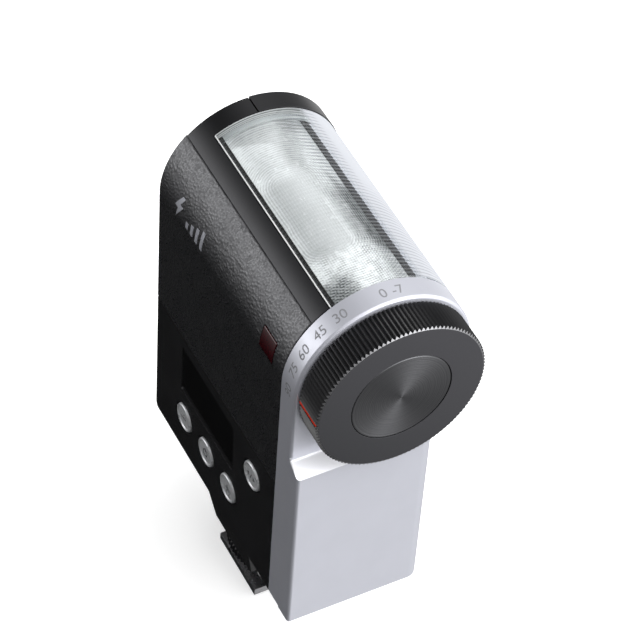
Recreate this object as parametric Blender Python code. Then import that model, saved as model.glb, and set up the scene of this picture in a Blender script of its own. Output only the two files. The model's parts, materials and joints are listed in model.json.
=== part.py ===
# Compact shoe-mount speedlight flash with a cylindrical tilting head.
#
# Frame: millimetres in the constants, metres in the meshes.  +Z is up, -Y is
# the side the photographer sees (display and buttons), +Y faces the subject,
# +X is the side of the tilt knob.  The origin is the centre of the shoe
# foot's underside.  The head points straight up, its 90 degree position.
# Angles in the side view run in degrees from straight up towards the back.
import math

import bmesh
import bpy
from mathutils import Vector

MM = 0.001
SMOOTH_ANGLE = 32.0      # edges sharper than this stay sharp, degrees

# ---- driving dimensions -------------------------------------------------
AXIS_Y = 3.5             # tilt axis, runs along X
AXIS_Z = 95.0
R_BODY = 20.76           # barrel top of the body
R_FRONT = 20.96          # the front shell stands slightly proud
X_LEFT = -34.8           # left end face
X_SHELL = 25.1           # right end of both black shells
X_RING = 25.35           # scale ring, left edge
X_WALL = 31.2            # scale ring, right edge and wall behind the knob
X_SIDE = 34.95           # lower silver side wall
Y_BACK = AXIS_Y - R_BODY
Y_FRONT = 16.0
Z_BOTTOM = 23.8
CORNER = 2.5             # rounding of the lower front edge
CORNER_BACK = 0.5        # the lower back edge is nearly sharp
CORNER_MIN = 0.4         # least rounding left on an inset outline
END_ROUND = 2.2          # lower left corner, seen from behind
WALL = 2.0
SEAM = 0.15              # half of the seam between the two shells
GAP = 0.3

LENS_BACK = 30.6         # lens cover, back and front edges, degrees
LENS_FRONT = -135.0
LENS_X = (-29.7, 25.05)
LENS_IN = 19.0
LENS_GAP = 0.7           # degrees

LEATHER_TOP = 44.3       # upper edge of the rear skin, degrees
LEATHER_LOW = 61.9       # lower edge, height
LEATHER_T = 0.45
LEATHER_GAP = 0.15
LEATHER_X = -35.2        # left edge of the rear and side skins

SCREEN_X = (-21.65, 5.25)
SCREEN_Z = (43.8, 58.1)
SENSOR_X = (14.75, 20.55)
SENSOR_ANGLE = (72.0, 88.0)
BUTTON_R = 3.85
BUTTONS = {"left": (-19.6, 35.6), "middle": (-8.0, 35.8),      # x, z
           "right": (3.5, 35.8), "side": (14.55, 52.4)}

SCREWS = {"left": (-29.5, 66.0), "right": (22.6, 66.0)}        # x, z
POST_R = 2.2             # screw post, its bore and the sink for the head
POST_BORE = 1.15
SCREW_SINK = 2.05

BOSS_R = 8.5             # bearing boss and the bore for its bush
BOSS_BORE = 6.2
SHAFT_R = 4.0
SHAFT_GAP = 0.15

CELL_R = 7.1             # AA cell
CELL_L = 50.5
CELL_X = -29.6
CELL_Y = 5.9
CELL_Z = {"lower": 34.3, "upper": 50.0}
NUB_R = 2.75             # raised end of the cell
NUB_L = 1.0

DOOR_Y = (-1.9, 13.6)
DOOR_Z = (26.3, 57.7)
DOOR_PIN = (-33.85, 26.2)   # x, z of the hinge
HINGE_BORE = 0.75
BOARD_X = (-31.0, 24.5)

# ---- materials: colour, roughness, metallic -----------------------------
LOOKS = {
    "black": ((0.020, 0.020, 0.022), 0.42, 0.0),
    "front_black": ((0.028, 0.028, 0.030), 0.45, 0.0),
    "leather": ((0.024, 0.024, 0.027), 0.55, 0.0),
    "silver": ((0.66, 0.67, 0.70), 0.38, 0.35),
    "clear": ((0.85, 0.88, 0.88), 0.06, 0.0),
    "gloss": ((0.005, 0.005, 0.006), 0.08, 0.0),
    "knob": ((0.055, 0.056, 0.060), 0.40, 0.6),
    "disc": ((0.060, 0.061, 0.065), 0.28, 0.9),
    "red": ((0.75, 0.05, 0.02), 0.45, 0.0),
    "red_glass": ((0.10, 0.006, 0.012), 0.08, 0.0),
    "button": ((0.62, 0.63, 0.65), 0.35, 0.4),
    "board": ((0.02, 0.10, 0.05), 0.5, 0.0),
    "copper": ((0.72, 0.35, 0.18), 0.35, 1.0),
    "steel": ((0.55, 0.55, 0.56), 0.3, 1.0),
    "brass": ((0.70, 0.52, 0.22), 0.32, 1.0),
    "mirror": ((0.88, 0.89, 0.90), 0.12, 1.0),
    "glass": ((0.92, 0.94, 0.95), 0.03, 0.0),
    "rubber": ((0.55, 0.54, 0.52), 0.7, 0.0),
    "white": ((0.78, 0.79, 0.79), 0.45, 0.0),
    "sleeve": ((0.03, 0.05, 0.16), 0.35, 0.0),
    "cell": ((0.10, 0.28, 0.16), 0.35, 0.2),
    "cable": ((0.55, 0.35, 0.12), 0.45, 0.0),
    "dark": ((0.03, 0.03, 0.03), 0.5, 0.0),
}


def material(name, look):
    colour, roughness, metallic = LOOKS[look]
    mat = bpy.data.materials.new(name + "_material")
    mat.use_nodes = True
    shader = mat.node_tree.nodes["Principled BSDF"]
    shader.inputs["Base Color"].default_value = (*colour, 1.0)
    shader.inputs["Roughness"].default_value = roughness
    shader.inputs["Metallic"].default_value = metallic
    mat.diffuse_color = (*colour, 1.0)
    return mat


# ---- solids: every shape named "tool" is used up by cut() or fuse() -----
def add(name, verts, faces, look=None):
    mesh = bpy.data.meshes.new(name)
    mesh.from_pydata([Vector(vert) * MM for vert in verts], [], faces)
    bm = bmesh.new()
    bm.from_mesh(mesh)
    bmesh.ops.recalc_face_normals(bm, faces=bm.faces)
    bm.to_mesh(mesh)
    bm.free()
    obj = bpy.data.objects.new(name, mesh)
    bpy.context.scene.collection.objects.link(obj)
    if look:
        mesh.materials.append(material(name, look))
    return obj


def place(axis, along, first, second):
    """Point from its place along an axis and its two other coordinates."""
    point = [first, second]
    point.insert("XYZ".index(axis), along)
    return point


def prism(name, outline, low, high, axis="X", look=None, outline_high=None):
    """Extrude a closed outline along an axis; the far end may differ."""
    count = len(outline)
    verts = [place(axis, low, *point) for point in outline]
    verts += [place(axis, high, *point) for point in outline_high or outline]
    faces = [list(range(count)), list(range(2 * count - 1, count - 1, -1))]
    for i in range(count):
        j = (i + 1) % count
        faces.append([i, j, count + j, count + i])
    return add(name, verts, faces, look)


def turned(name, profile, axis="X", centre=(AXIS_Y, AXIS_Z), sides=48, look=None):
    """Revolve a closed profile of (along, radius) pairs about an axis."""
    verts, rings = [], []
    for along, radius in profile:
        if radius < 1e-6:
            rings.append([len(verts)])
            verts.append(place(axis, along, *centre))
            continue
        rings.append(list(range(len(verts), len(verts) + sides)))
        for k in range(sides):
            angle = 2 * math.pi * k / sides
            verts.append(place(axis, along, centre[0] + radius * math.cos(angle),
                               centre[1] + radius * math.sin(angle)))
    faces = []
    for ring, after in zip(rings, rings[1:] + rings[:1]):
        if len(ring) == 1 and len(after) == 1:
            continue
        for k in range(sides):
            m = (k + 1) % sides
            if len(ring) == 1:
                faces.append([ring[0], after[m], after[k]])
            elif len(after) == 1:
                faces.append([ring[k], ring[m], after[0]])
            else:
                faces.append([ring[k], ring[m], after[m], after[k]])
    return add(name, verts, faces, look)


def rod(name, low, high, radius, axis="X", centre=(AXIS_Y, AXIS_Z), sides=32, look=None):
    return turned(name, [(low, 0), (low, radius), (high, radius), (high, 0)],
                  axis, centre, sides, look)


def pipe(name, low, high, radius, inner, axis="X", centre=(AXIS_Y, AXIS_Z), sides=48,
         look=None):
    return turned(name, [(low, inner), (low, radius), (high, radius), (high, inner)],
                  axis, centre, sides, look)


def block(name, x, y, z, look=None):
    outline = [(x[0], y[0]), (x[1], y[0]), (x[1], y[1]), (x[0], y[1])]
    return prism(name, outline, *z, "Z", look)


def combine(obj, operation, tools):
    """Boolean each of the tools into obj, then drop them."""
    for tool in tools:
        mod = obj.modifiers.new(operation.lower(), "BOOLEAN")
        mod.operation = operation
        mod.solver = "EXACT"
        mod.object = tool
        bpy.context.view_layer.update()
        graph = bpy.context.evaluated_depsgraph_get()
        mesh = bpy.data.meshes.new_from_object(obj.evaluated_get(graph))
        obj.modifiers.clear()
        obj.data = mesh
        bpy.data.objects.remove(tool, do_unlink=True)


def cut(obj, *tools):
    combine(obj, "DIFFERENCE", tools)


def fuse(obj, *tools):
    combine(obj, "UNION", tools)


# ---- spans and outlines ---------------------------------------------------
def around(centre, half):
    return (centre - half, centre + half)


def widen(span, margin):
    return (span[0] - margin, span[1] + margin)


def polar(angle, radius):
    """A point of the side view, (y, z), about the tilt axis."""
    turn = math.radians(angle)
    return (AXIS_Y - radius * math.sin(turn), AXIS_Z + radius * math.cos(turn))


def arc(start, stop, radius, step=6.0):
    count = max(1, int(math.ceil(abs(stop - start) / step)))
    return [polar(start + (stop - start) * i / count, radius) for i in range(count + 1)]


def sector(start, stop, inner, outer, step=6.0):
    return arc(start, stop, outer, step) + arc(stop, start, inner, step)


def fillet(first, second, radius, start, stop, count=4):
    """Arc about (first, second), degrees from the first coordinate's axis."""
    points = []
    for i in range(count + 1):
        turn = math.radians(start + (stop - start) * i / count)
        points.append((first + radius * math.cos(turn), second + radius * math.sin(turn)))
    return points


def rounded(first, second, radius, count=4):
    """Rectangle outline over two spans, with rounded corners."""
    low, high = widen(first, -radius)
    bottom, top = widen(second, -radius)
    points = fillet(high, top, radius, 0, 90, count)
    points += fillet(low, top, radius, 90, 180, count)
    points += fillet(low, bottom, radius, 180, 270, count)
    points += fillet(high, bottom, radius, 270, 360, count)
    return points


def front_angle(inset, radius):
    """Where the barrel meets the flat front, as an angle from up."""
    return -(180.0 - math.degrees(math.asin((Y_FRONT - inset - AXIS_Y) / (radius - inset))))


def seam_angle(radius):
    return math.degrees(math.asin(SEAM / radius))


def low_back(inset):
    corner = max(CORNER_BACK - inset, CORNER_MIN)
    return fillet(Y_BACK + inset + corner, Z_BOTTOM + inset + corner, corner, 270, 180)


def low_front(inset):
    corner = max(CORNER - inset, CORNER_MIN)
    return fillet(Y_FRONT - inset - corner, Z_BOTTOM + inset + corner, corner, 0, -90)


def side_outline(inset=0.0):
    """Full side view of the body, inset by a wall thickness."""
    barrel = arc(90, front_angle(inset, R_BODY), R_BODY - inset)
    return low_back(inset) + barrel + low_front(inset)


def rear_outline(inset=0.0, edge=AXIS_Y - SEAM):
    """Back half of the side view; an edge past the axis squares off the top."""
    radius = R_BODY - inset
    points = [(edge, Z_BOTTOM + inset)] + low_back(inset)
    points += arc(90, seam_angle(radius), radius)
    if edge > AXIS_Y:
        points.append((edge, points[-1][1]))
    return points


def front_outline(inset=0.0, edge=AXIS_Y + SEAM):
    """Front half of the side view, with the edge as in rear_outline."""
    radius = R_FRONT - inset
    points = arc(-seam_angle(radius), front_angle(inset, R_FRONT), radius)
    points += low_front(inset) + [(edge, Z_BOTTOM + inset)]
    if edge < AXIS_Y:
        points.append((edge, points[0][1]))
    return points


# ---- shared tools -----------------------------------------------------------
def end_corner():
    """Rounds the lower corner at the plain left end of the case."""
    x, z = X_LEFT + END_ROUND, Z_BOTTOM + END_ROUND
    outline = [(X_LEFT - 1, Z_BOTTOM - 1), (x, Z_BOTTOM - 1)]
    outline += fillet(x, z, END_ROUND, 270, 180) + [(X_LEFT - 1, z)]
    return prism("tool", outline, -40, 40, "Y")


def door_opening():
    return block("tool", (X_LEFT - 1, -32.5), widen(DOOR_Y, GAP),
                 (DOOR_PIN[1] - 1.3, DOOR_Z[1] + GAP))


def cable_slot():
    return block("tool", (-33.0, -32.05), (1.9, 5.1), (80.0, AXIS_Z))


def left_bore():
    return rod("tool", -32.3, -25, BOSS_BORE, sides=24)


def lens_opening(start, stop):
    return prism("tool", sector(start, stop, 15, 25), LENS_X[0] - 0.2, X_SHELL + 2)


def sensor_opening():
    return prism("tool", sector(*widen(SENSOR_ANGLE, 0.8), 17, 23), *widen(SENSOR_X, 0.25))


def hinge_bore(low, high):
    return rod("tool", low, high, HINGE_BORE, "Y", DOOR_PIN, 16)


# ---- shells -------------------------------------------------------------------
def shell_blank(name, outline, hollow, posts, look):
    """Hollow half of the case with its left bearing boss and screw posts."""
    shell = prism(name, outline, X_LEFT, X_SHELL, "X", look)
    cut(shell, prism("tool", hollow, X_LEFT + WALL, X_SHELL + 2))
    fuse(shell, pipe("tool", X_LEFT + 1, -29.9, BOSS_R, BOSS_BORE, sides=24))
    for centre in SCREWS.values():
        fuse(shell, rod("tool", *posts, POST_R, "Y", centre, 14))
    return shell


def leather_recess():
    back = Y_BACK - 2
    low = LEATHER_LOW - LEATHER_GAP
    depth = LEATHER_T + LEATHER_GAP
    outline = [(back, low), (back, AXIS_Z)]
    outline += sector(90, LEATHER_TOP - 0.5, R_BODY - depth, R_BODY + 2)
    outline.append((Y_BACK + depth, low))
    return prism("tool", outline, X_LEFT - 2, X_SHELL + 2)


def rear_shell():
    shell = shell_blank("rear_shell", rear_outline(), rear_outline(WALL, AXIS_Y + 2),
                        (Y_BACK + 1, AXIS_Y - SEAM), "black")
    cut(shell,
        block("tool", (-40, 40), (AXIS_Y - SEAM, 40), (0, 130)),
        lens_opening(LENS_BACK + LENS_GAP, -20),
        left_bore(), door_opening(), cable_slot(), end_corner(), leather_recess(),
        # Stepped opening for the display: a shallow seat, then a smaller hole.
        block("tool", SCREEN_X, (Y_BACK - 2, Y_BACK + 1.3), SCREEN_Z),
        block("tool", widen(SCREEN_X, -1.2), (Y_BACK - 2, Y_BACK + 3), widen(SCREEN_Z, -1)),
        sensor_opening(),
        hinge_bore(DOOR_Y[0] - 2.2, DOOR_Y[0]))
    for centre in BUTTONS.values():
        cut(shell, rod("tool", Y_BACK - 2, Y_BACK + 4, BUTTON_R + 0.25, "Y", centre, 32))
    for centre in SCREWS.values():
        cut(shell, rod("tool", -8.0, AXIS_Y + 2, POST_BORE, "Y", centre, 12))


def front_shell():
    shell = shell_blank("front_shell", front_outline(), front_outline(WALL, AXIS_Y - 2),
                        (AXIS_Y + SEAM, Y_FRONT - 1), "front_black")
    cut(shell,
        block("tool", (-40, 40), (-40, AXIS_Y + SEAM), (0, 130)),
        lens_opening(20, LENS_FRONT - LENS_GAP),
        left_bore(), end_corner(), door_opening(), cable_slot(),
        # Shallow recess for the front leather.
        block("tool", (-33.6, 24.8), (Y_FRONT - 0.5, Y_FRONT + 2), (26.3, 72.2)),
        hinge_bore(DOOR_Y[1], Y_FRONT - 0.7))
    for centre in SCREWS.values():
        cut(shell,
            rod("tool", AXIS_Y - 2, Y_FRONT + 1, POST_BORE, "Y", centre, 12),
            rod("tool", Y_FRONT - 1.7, Y_FRONT + 1, SCREW_SINK, "Y", centre, 14))


def side_panel():
    """Silver side panel with the scale ring, bulging out below the knob."""
    bulge_top, slope_low = 75.7, 73.1
    back_round, front_round = 0.8, 3.0
    panel = prism("side_panel", side_outline(), X_RING, X_WALL, "X", "silver")
    plan = fillet(X_SIDE - back_round, Y_BACK + back_round, back_round, -90, 0, 3)
    plan += fillet(X_SIDE - front_round, Y_FRONT - front_round, front_round, 0, 90, 5)
    plan += [(X_WALL - 1, Y_FRONT), (X_WALL - 1, Y_BACK)]
    bulge = prism("tool", plan, Z_BOTTOM + 0.4, bulge_top, "Z")
    slope = [(X_WALL, bulge_top), (X_SIDE, slope_low), (X_SIDE + 2, slope_low),
             (X_SIDE + 2, 80), (X_WALL, 80)]
    cut(bulge, prism("tool", slope, -40, 40, "Y"))
    fuse(panel, bulge)
    bulge_hollow = rounded((Y_BACK + WALL, Y_FRONT - WALL), (Z_BOTTOM + WALL, 70.5), 1.0, 2)
    cut(panel,
        prism("tool", side_outline(WALL), X_RING - 2, X_WALL - WALL),
        prism("tool", bulge_hollow, X_RING - 2, X_SIDE - WALL))
    # Bearing boss, and a lug below it on either side.
    fuse(panel, rod("tool", 27.0, X_WALL - 1, BOSS_R, sides=24))
    for lug_y in ((-8.5, -6.0), (13.0, 15.5)):
        fuse(panel, block("tool", (26.8, X_WALL - 1), lug_y, (81.0, 85.0)))
    cut(panel, rod("tool", 20, 40, BOSS_BORE, sides=24))


def leather_skins():
    skin = [(Y_BACK, LEATHER_LOW)]
    skin += sector(90, LEATHER_TOP, R_BODY - LEATHER_T, R_BODY)
    skin.append((Y_BACK + LEATHER_T, LEATHER_LOW))
    cut(prism("rear_leather", skin, LEATHER_X, X_SHELL, "X", "leather"), sensor_opening())
    prism("front_leather", rounded((-33.4, 24.6), (26.5, 72.0), 1.2), Y_FRONT - 0.35,
          Y_FRONT + 0.1, "Y", "leather")
    end = [point for point in side_outline(WALL) if point[1] > LEATHER_LOW]
    end += [(Y_FRONT - WALL, LEATHER_LOW), (Y_BACK + WALL, LEATHER_LOW)]
    prism("side_leather", end, LEATHER_X, X_LEFT - 0.1, "X", "leather")


def lens_cover():
    prism("lens_cover", sector(LENS_BACK, LENS_FRONT, LENS_IN, R_BODY), *LENS_X, "X", "clear")


# ---- display, sensor, boards, buttons -------------------------------------
def display():
    block("display_window", widen(SCREEN_X, -0.12), (Y_BACK + 0.35, Y_BACK + 1.15),
          widen(SCREEN_Z, -0.12), "gloss")
    block("display_module", (-20.2, 3.8), (-15.0, -13.2), (45.0, 56.8), "dark")


def sensor():
    prism("sensor_window", sector(*SENSOR_ANGLE, 19.6, R_BODY + 0.02, 4), *SENSOR_X,
          "X", "red_glass")
    prism("slave_sensor", sector(77, 83, 18.7, 19.35, 3), 16.2, 19.1, "X", "dark")


def electronics():
    block("control_board", BOARD_X, (-10.4, -9.2), (27.0, 62.0), "board")
    block("power_board", BOARD_X, (-5.6, -4.4), (27.0, 61.0), "board")
    rod("main_capacitor", -26.4, 10.6, 6.6, "X", (4.6, 67.0), 24, "sleeve")
    block("charge_transformer", (12.2, 19.6), (-2.6, 10.0), (60.4, 73.2), "copper")


def buttons():
    """Flanged caps, each with a key switch in front of it, towards +Y."""
    flange_r, flange_y = 4.8, (-14.95, -14.1)
    cap = [(Y_BACK - 0.3, 0), (Y_BACK - 0.2, BUTTON_R - 0.9), (Y_BACK + 0.15, BUTTON_R),
           (flange_y[0], BUTTON_R), (flange_y[0], flange_r),
           (flange_y[1], flange_r), (flange_y[1], 0)]       # y, radius
    for name, (x, z) in BUTTONS.items():
        switch = block("key_switch_" + name, around(x, 3), (-12.9, -10.5), around(z, 3), "dark")
        fuse(switch, rod("tool", -13.35, -12.5, 1.6, "Y", (x, z), 16))
        turned("button_" + name, cap, "Y", (x, z), 28, "button")


def case_screws():
    shank_r, head_r, head_y = 0.9, 1.85, (14.5, 15.4)
    profile = [(-6.0, 0), (-6.0, shank_r), (head_y[0], shank_r),
               (head_y[0], head_r), (head_y[1], head_r), (head_y[1], 0)]   # y, radius
    for name, centre in SCREWS.items():
        turned("case_screw_" + name, profile, "Y", centre, 12, "steel")


# ---- batteries and their door ---------------------------------------------
def batteries():
    """The nub of the lower cell points right, that of the upper one left."""
    tray = prism("battery_tray", rounded((-1.9, 13.7), (26.2, 58.1), 1.5, 3), -32.3, 24.8,
                 "X", "black")
    left, right = CELL_X, CELL_X + CELL_L
    cells = {                                               # x, radius
        "lower": [(left, 0), (left, CELL_R), (right - NUB_L, CELL_R),
                  (right - NUB_L, NUB_R), (right, NUB_R), (right, 0)],
        "upper": [(left, 0), (left, NUB_R), (left + NUB_L, NUB_R),
                  (left + NUB_L, CELL_R), (right, CELL_R), (right, 0)]}
    contact = [(21.15, 0), (21.15, 2.0), (22.1, 2.4), (22.1, 5.0), (22.5, 5.0), (22.5, 0)]
    for name, z in CELL_Z.items():
        centre = (CELL_Y, z)
        cut(tray, rod("tool", -34, 22.8, CELL_R + 0.3, "X", centre, 28))
        turned("battery_cell_" + name, cells[name], "X", centre, 24, "cell")
        turned("cell_contact_" + name, contact, "X", centre, 16, "steel")


def battery_door():
    door = block("battery_door", (X_LEFT, -33.3), DOOR_Y, DOOR_Z, "black")
    fuse(door, rod("tool", *DOOR_Y, 0.95, "Y", DOOR_PIN, 20))
    cut(door, hinge_bore(*widen(DOOR_Y, 1)),
        block("tool", (X_LEFT - 1, X_LEFT + 0.6), (1.0, 10.7), (53.0, 55.4)))
    rod("door_hinge_pin", DOOR_Y[0] - 1.9, Y_FRONT - 1.0, 0.55, "Y", DOOR_PIN, 16, "steel")
    contact = block("door_contact", (-33.15, -32.85), (1.4, 10.4), (30.0, 54.4), "steel")
    cone = [(-33.0, 0), (-33.0, 3.4), (-30.0, 2.2), (-30.0, 0)]    # x, radius
    for z in CELL_Z.values():
        fuse(contact, turned("tool", cone, "X", (CELL_Y, z), 14))


# ---- bearings and the tilting head ------------------------------------------
DRUM_R = 18.4
DRUM_IN = 17.2
DRUM_X = (-28.6, 24.2)
DRUM_END = 1.5           # thickness of the end discs
APERTURE = 38.0          # half of the drum's window, degrees
LIP = 34.0               # half of the reflector's mouth, degrees
LIP_R = 17.8             # from the tilt axis to the reflector's lip
BOWL_R = 3.6             # reflector's rounding about the tube
REFLECTOR_T = 0.5


def bushes():
    for name, low, high in (("bush_left", -32.0, -29.3), ("bush_right", 27.2, 31.0)):
        pipe(name, low, high, 6.0, SHAFT_R + 0.12, sides=24, look="white")


def head_drum():
    """Hollow drum with a hollow stub shaft on the left."""
    left, right = DRUM_X
    stub, stub_bore, hole = -31.8, 2.0, SHAFT_R + SHAFT_GAP
    drum = turned("head_drum", [
        (stub, stub_bore), (stub, SHAFT_R), (left, SHAFT_R), (left, DRUM_R),
        (right, DRUM_R), (right, hole), (right - DRUM_END, hole),
        (right - DRUM_END, DRUM_IN), (left + DRUM_END, DRUM_IN),
        (left + DRUM_END, stub_bore)], look="white")
    cut(drum, prism("tool", sector(APERTURE, -APERTURE, 10, 22, 4.5), -26.4, 22.2))


def trough(inset):
    """Reflector cross-section: round about the tube, flaring to the lip."""
    base = BOWL_R - inset
    lip = LIP_R * math.sin(math.radians(LIP)) - inset
    top = LIP_R * math.cos(math.radians(LIP))
    count = 8
    wall = [(base + (lip - base) * (i / count) ** 0.8, top * i / count)
            for i in range(count + 1)]
    front = [(AXIS_Y + y, AXIS_Z + z) for y, z in reversed(wall)]
    back = [(AXIS_Y - y, AXIS_Z + z) for y, z in wall]
    bowl = fillet(AXIS_Y, AXIS_Z, base, 0, -180, 12)[1:-1]
    return front + bowl + back


def reflector():
    left, right = -25.2, 20.8
    shape = prism("reflector", trough(0.0), left, right, "X", "mirror")
    # The hollow's lip is raised so that the mouth is cut open.
    hollow = [(y, z if z < AXIS_Z + 14.5 else z + 2) for y, z in trough(REFLECTOR_T)]
    cut(shape, prism("tool", hollow, left + REFLECTOR_T, right - REFLECTOR_T),
        rod("tool", -27, 23, 2.3, sides=16))


def flash_tube():
    rod("flash_tube", -26.2, 21.8, 2.0, sides=16, look="glass")
    for name, low, high in (("left", -26.9, -25.5), ("right", 21.1, 22.5)):
        pipe("tube_boot_" + name, low, high, 3.3, 2.15, sides=16, look="rubber")


def trigger():
    block("trigger_board", (-20, 16), around(AXIS_Y, 9), (AXIS_Z - 6.6, AXIS_Z - 5.4), "board")
    rod("trigger_coil", -6, 6, 3.2, "X", (AXIS_Y, AXIS_Z - 10.2), 16, "copper")


def tilt_shaft():
    shaft = rod("tilt_shaft", 22.9, 35.0, SHAFT_R, sides=24, look="steel")
    cut(shaft, rod("tool", 29.5, 36.0, 1.6, sides=16))


def head_cable():
    x, y, top = (-32.55, -32.25), (2.2, 4.8), AXIS_Z + 0.15
    cable = block("head_cable", x, y, (60.0, top), "cable")
    fuse(cable, block("tool", (-32.4, -27.6), y, (AXIS_Z - 0.15, top)))


# ---- click stops --------------------------------------------------------------
DETENT_R = 11.0
DETENTS = (0.0, 15.0, 30.0, 45.0, 60.0, 90.0, 97.0)   # degrees
NOTCH_DEPTH = 0.7
NOTCH_REACH = 2.4        # half width that is cut, degrees
NOTCH_HALF = 2.6         # half width where the notch curve meets the rim, degrees
DETENT_STEP = 1.5        # spacing of outline points, degrees


def detent_outline():
    """Disc with a round notch for each click position, counted from below."""
    points = []
    for i in range(int(360 / DETENT_STEP)):
        angle = i * DETENT_STEP
        depth = 0.0
        for stop in DETENTS:
            off = abs((angle - 180.0 - stop + 180.0) % 360.0 - 180.0)
            if off < NOTCH_REACH:
                depth = max(depth, NOTCH_DEPTH * (1 - (off / NOTCH_HALF) ** 2))
        # Outside the notches every fifth point is enough.
        if depth > 0 or i % 5 == 0:
            points.append(polar(angle, DETENT_R - depth))
    return points


def detents():
    wheel = prism("detent_wheel", detent_outline(), 25.2, 26.4, "X", "steel")
    cut(wheel, rod("tool", 24, 28, SHAFT_R + SHAFT_GAP, sides=24))
    # Flat spring below the wheel, with a bump under the axis.
    back, front = -5.7, 12.7
    top = AXIS_Z - DETENT_R - 0.55
    bottom = top - 0.45
    spring = [(back, bottom), (back, top)]
    for degrees in range(170, 9, -20):
        turn = math.radians(degrees)
        spring.append((AXIS_Y + 1.1 * math.cos(turn), top - 0.2 + 1.05 * math.sin(turn)))
    spring += [(front, top), (front, bottom)]
    prism("detent_spring", spring, 25.3, 26.3, "X", "steel")


# ---- tilt knob ------------------------------------------------------------------
KNOB_R = 19.8
KNOB_X = (31.6, 39.35)
DISC_R = 11.65
INDEX_ANGLE = 90.0       # red index mark, pointing straight back


def tilt_knob():
    left, right = KNOB_X
    recess, hole = DISC_R + 0.25, SHAFT_R + SHAFT_GAP
    knob = turned("tilt_knob", [                            # x, radius
        (left, KNOB_R - 0.5), (left + 0.6, KNOB_R), (right - 0.6, KNOB_R),
        (right, KNOB_R - 0.6), (right, recess), (38.4, recess), (38.4, 3.8), (36.4, 3.8),
        (36.4, 1.9), (35.2, 1.9), (35.2, hole), (left, hole), (left, 6.5),
        (35.8, 6.5), (35.8, 17.0), (left, 17.0)], look="knob")
    y, z = polar(INDEX_ANGLE, KNOB_R)
    cut(knob, block("tool", (32.2, 38.3), (y - 1, y + 0.55), around(z, 0.42)))
    block("knob_index", (32.3, 38.2), (y + 0.05, y + 0.45), around(z, 0.32), "red")
    rod("knob_disc", 38.5, 39.25, DISC_R, sides=48, look="disc")
    turned("knob_screw", [(30.2, 0), (30.2, 1.4), (36.5, 1.4), (36.5, 3.4), (38.1, 3.4),
                          (38.1, 0)], sides=16, look="steel")


# ---- pedestal and shoe foot -------------------------------------------------
FOOT_W = 18.6            # accessory-shoe foot
FOOT_L = 24.0
FOOT_T = 2.0
FOOT_CHAMFER = 1.5       # front corners
NECK = (5.9, 4.7)        # half width, half length
STEM_R = 7.6
STEM_GAP = 0.25
WHEEL_R = 13.5
CONTACT_Y = FOOT_L / 2 - 10.15
LOCK_AT = (0.0, -8.4)
FOOT_SCREWS = {"left": (-4.2, -2.6), "right": (4.2, -2.6)}    # x, y


def foot_pedestal():
    pedestal = prism("foot_pedestal", rounded((-9.4, 9.4), (-13.4, 12.2), 0.4),
                     9.5, Z_BOTTOM - GAP, "Z", "black",
                     rounded((-11.26, 11.26), (-16.06, 14.6), 0.4))
    cut(pedestal, prism("tool", rounded((-7.2, 7.2), (-11.2, 10.0), 1.0, 2), 12.5, 30, "Z",
                        None, rounded((-10.2, 10.2), (-15.0, 13.5), 1.0, 2)))
    for centre in FOOT_SCREWS.values():
        cut(pedestal, rod("tool", 8, 14, 1.1, "Z", centre, 12))


def shoe_foot():
    side, front = FOOT_W / 2, FOOT_L / 2
    plate = [(-side, -front), (side, -front), (side, front - FOOT_CHAMFER),
             (side - FOOT_CHAMFER, front), (-side + FOOT_CHAMFER, front),
             (-side, front - FOOT_CHAMFER)]
    foot = prism("shoe_foot", plate, 0, FOOT_T, "Z", "steel")
    fuse(foot, block("tool", around(0, NECK[0]), around(0, NECK[1]), (1.0, 6.0)),
         rod("tool", 4.4, 9.2, STEM_R, "Z", (0, 0), 32))
    screw = [(0.3, 0), (0.3, 1.3), (1.3, 1.3), (1.3, 0.85), (12.0, 0.85), (12.0, 0)]
    for name, centre in FOOT_SCREWS.items():
        cut(foot, rod("tool", -1, 12, 1.1, "Z", centre, 12),
            rod("tool", -1, 1.5, 1.5, "Z", centre, 16))
        turned("foot_screw_" + name, screw, "Z", centre, 12, "steel")
    cut(foot, rod("tool", -1, 7.0, 1.05, "Z", (0, CONTACT_Y), 16),
        rod("tool", -1, 3, 1.1, "Z", LOCK_AT, 16))
    rod("contact_centre", 0.03, 6.0, 0.9, "Z", (0, CONTACT_Y), 16, "brass")


def shoe_lock():
    hole = STEM_R + STEM_GAP
    pipe("lock_wheel", 5.9, 9.1, WHEEL_R, hole, "Z", (0, 0), 40, "knob")
    clamp = prism("clamp_plate", rounded((-9.6, 9.6), (-10.4, 9.6), 1.2, 3), 4.75, 5.55,
                  "Z", "steel")
    cut(clamp, rod("tool", 4, 7, hole, "Z", (0, 0), 32))
    rod("lock_pin", 0.1, 4.65, 0.85, "Z", LOCK_AT, 16, "steel")


# ---- joint axes: an empty on each axis carries its moving pieces ----------
JOINTS = {                                                  # position, pieces
    "axis_tilt": ((0, AXIS_Y, AXIS_Z), (
        "head_drum", "reflector", "flash_tube", "tube_boot_left", "tube_boot_right",
        "trigger_board", "trigger_coil", "tilt_shaft", "detent_wheel", "tilt_knob",
        "knob_index", "knob_disc", "knob_screw")),
    "axis_door": ((DOOR_PIN[0], 6.0, DOOR_PIN[1]), ("battery_door", "door_contact")),
    "axis_wheel": ((0, 0, 7.5), ("lock_wheel",)),
    "axis_clamp": ((0, 0, 5.0), ("clamp_plate", "lock_pin")),
    "axis_contact": ((0, CONTACT_Y, 0), ("contact_centre",)),
}
for key, (key_x, key_z) in BUTTONS.items():
    JOINTS["axis_button_" + key] = ((key_x, Y_BACK, key_z), ("button_" + key,))


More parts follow.
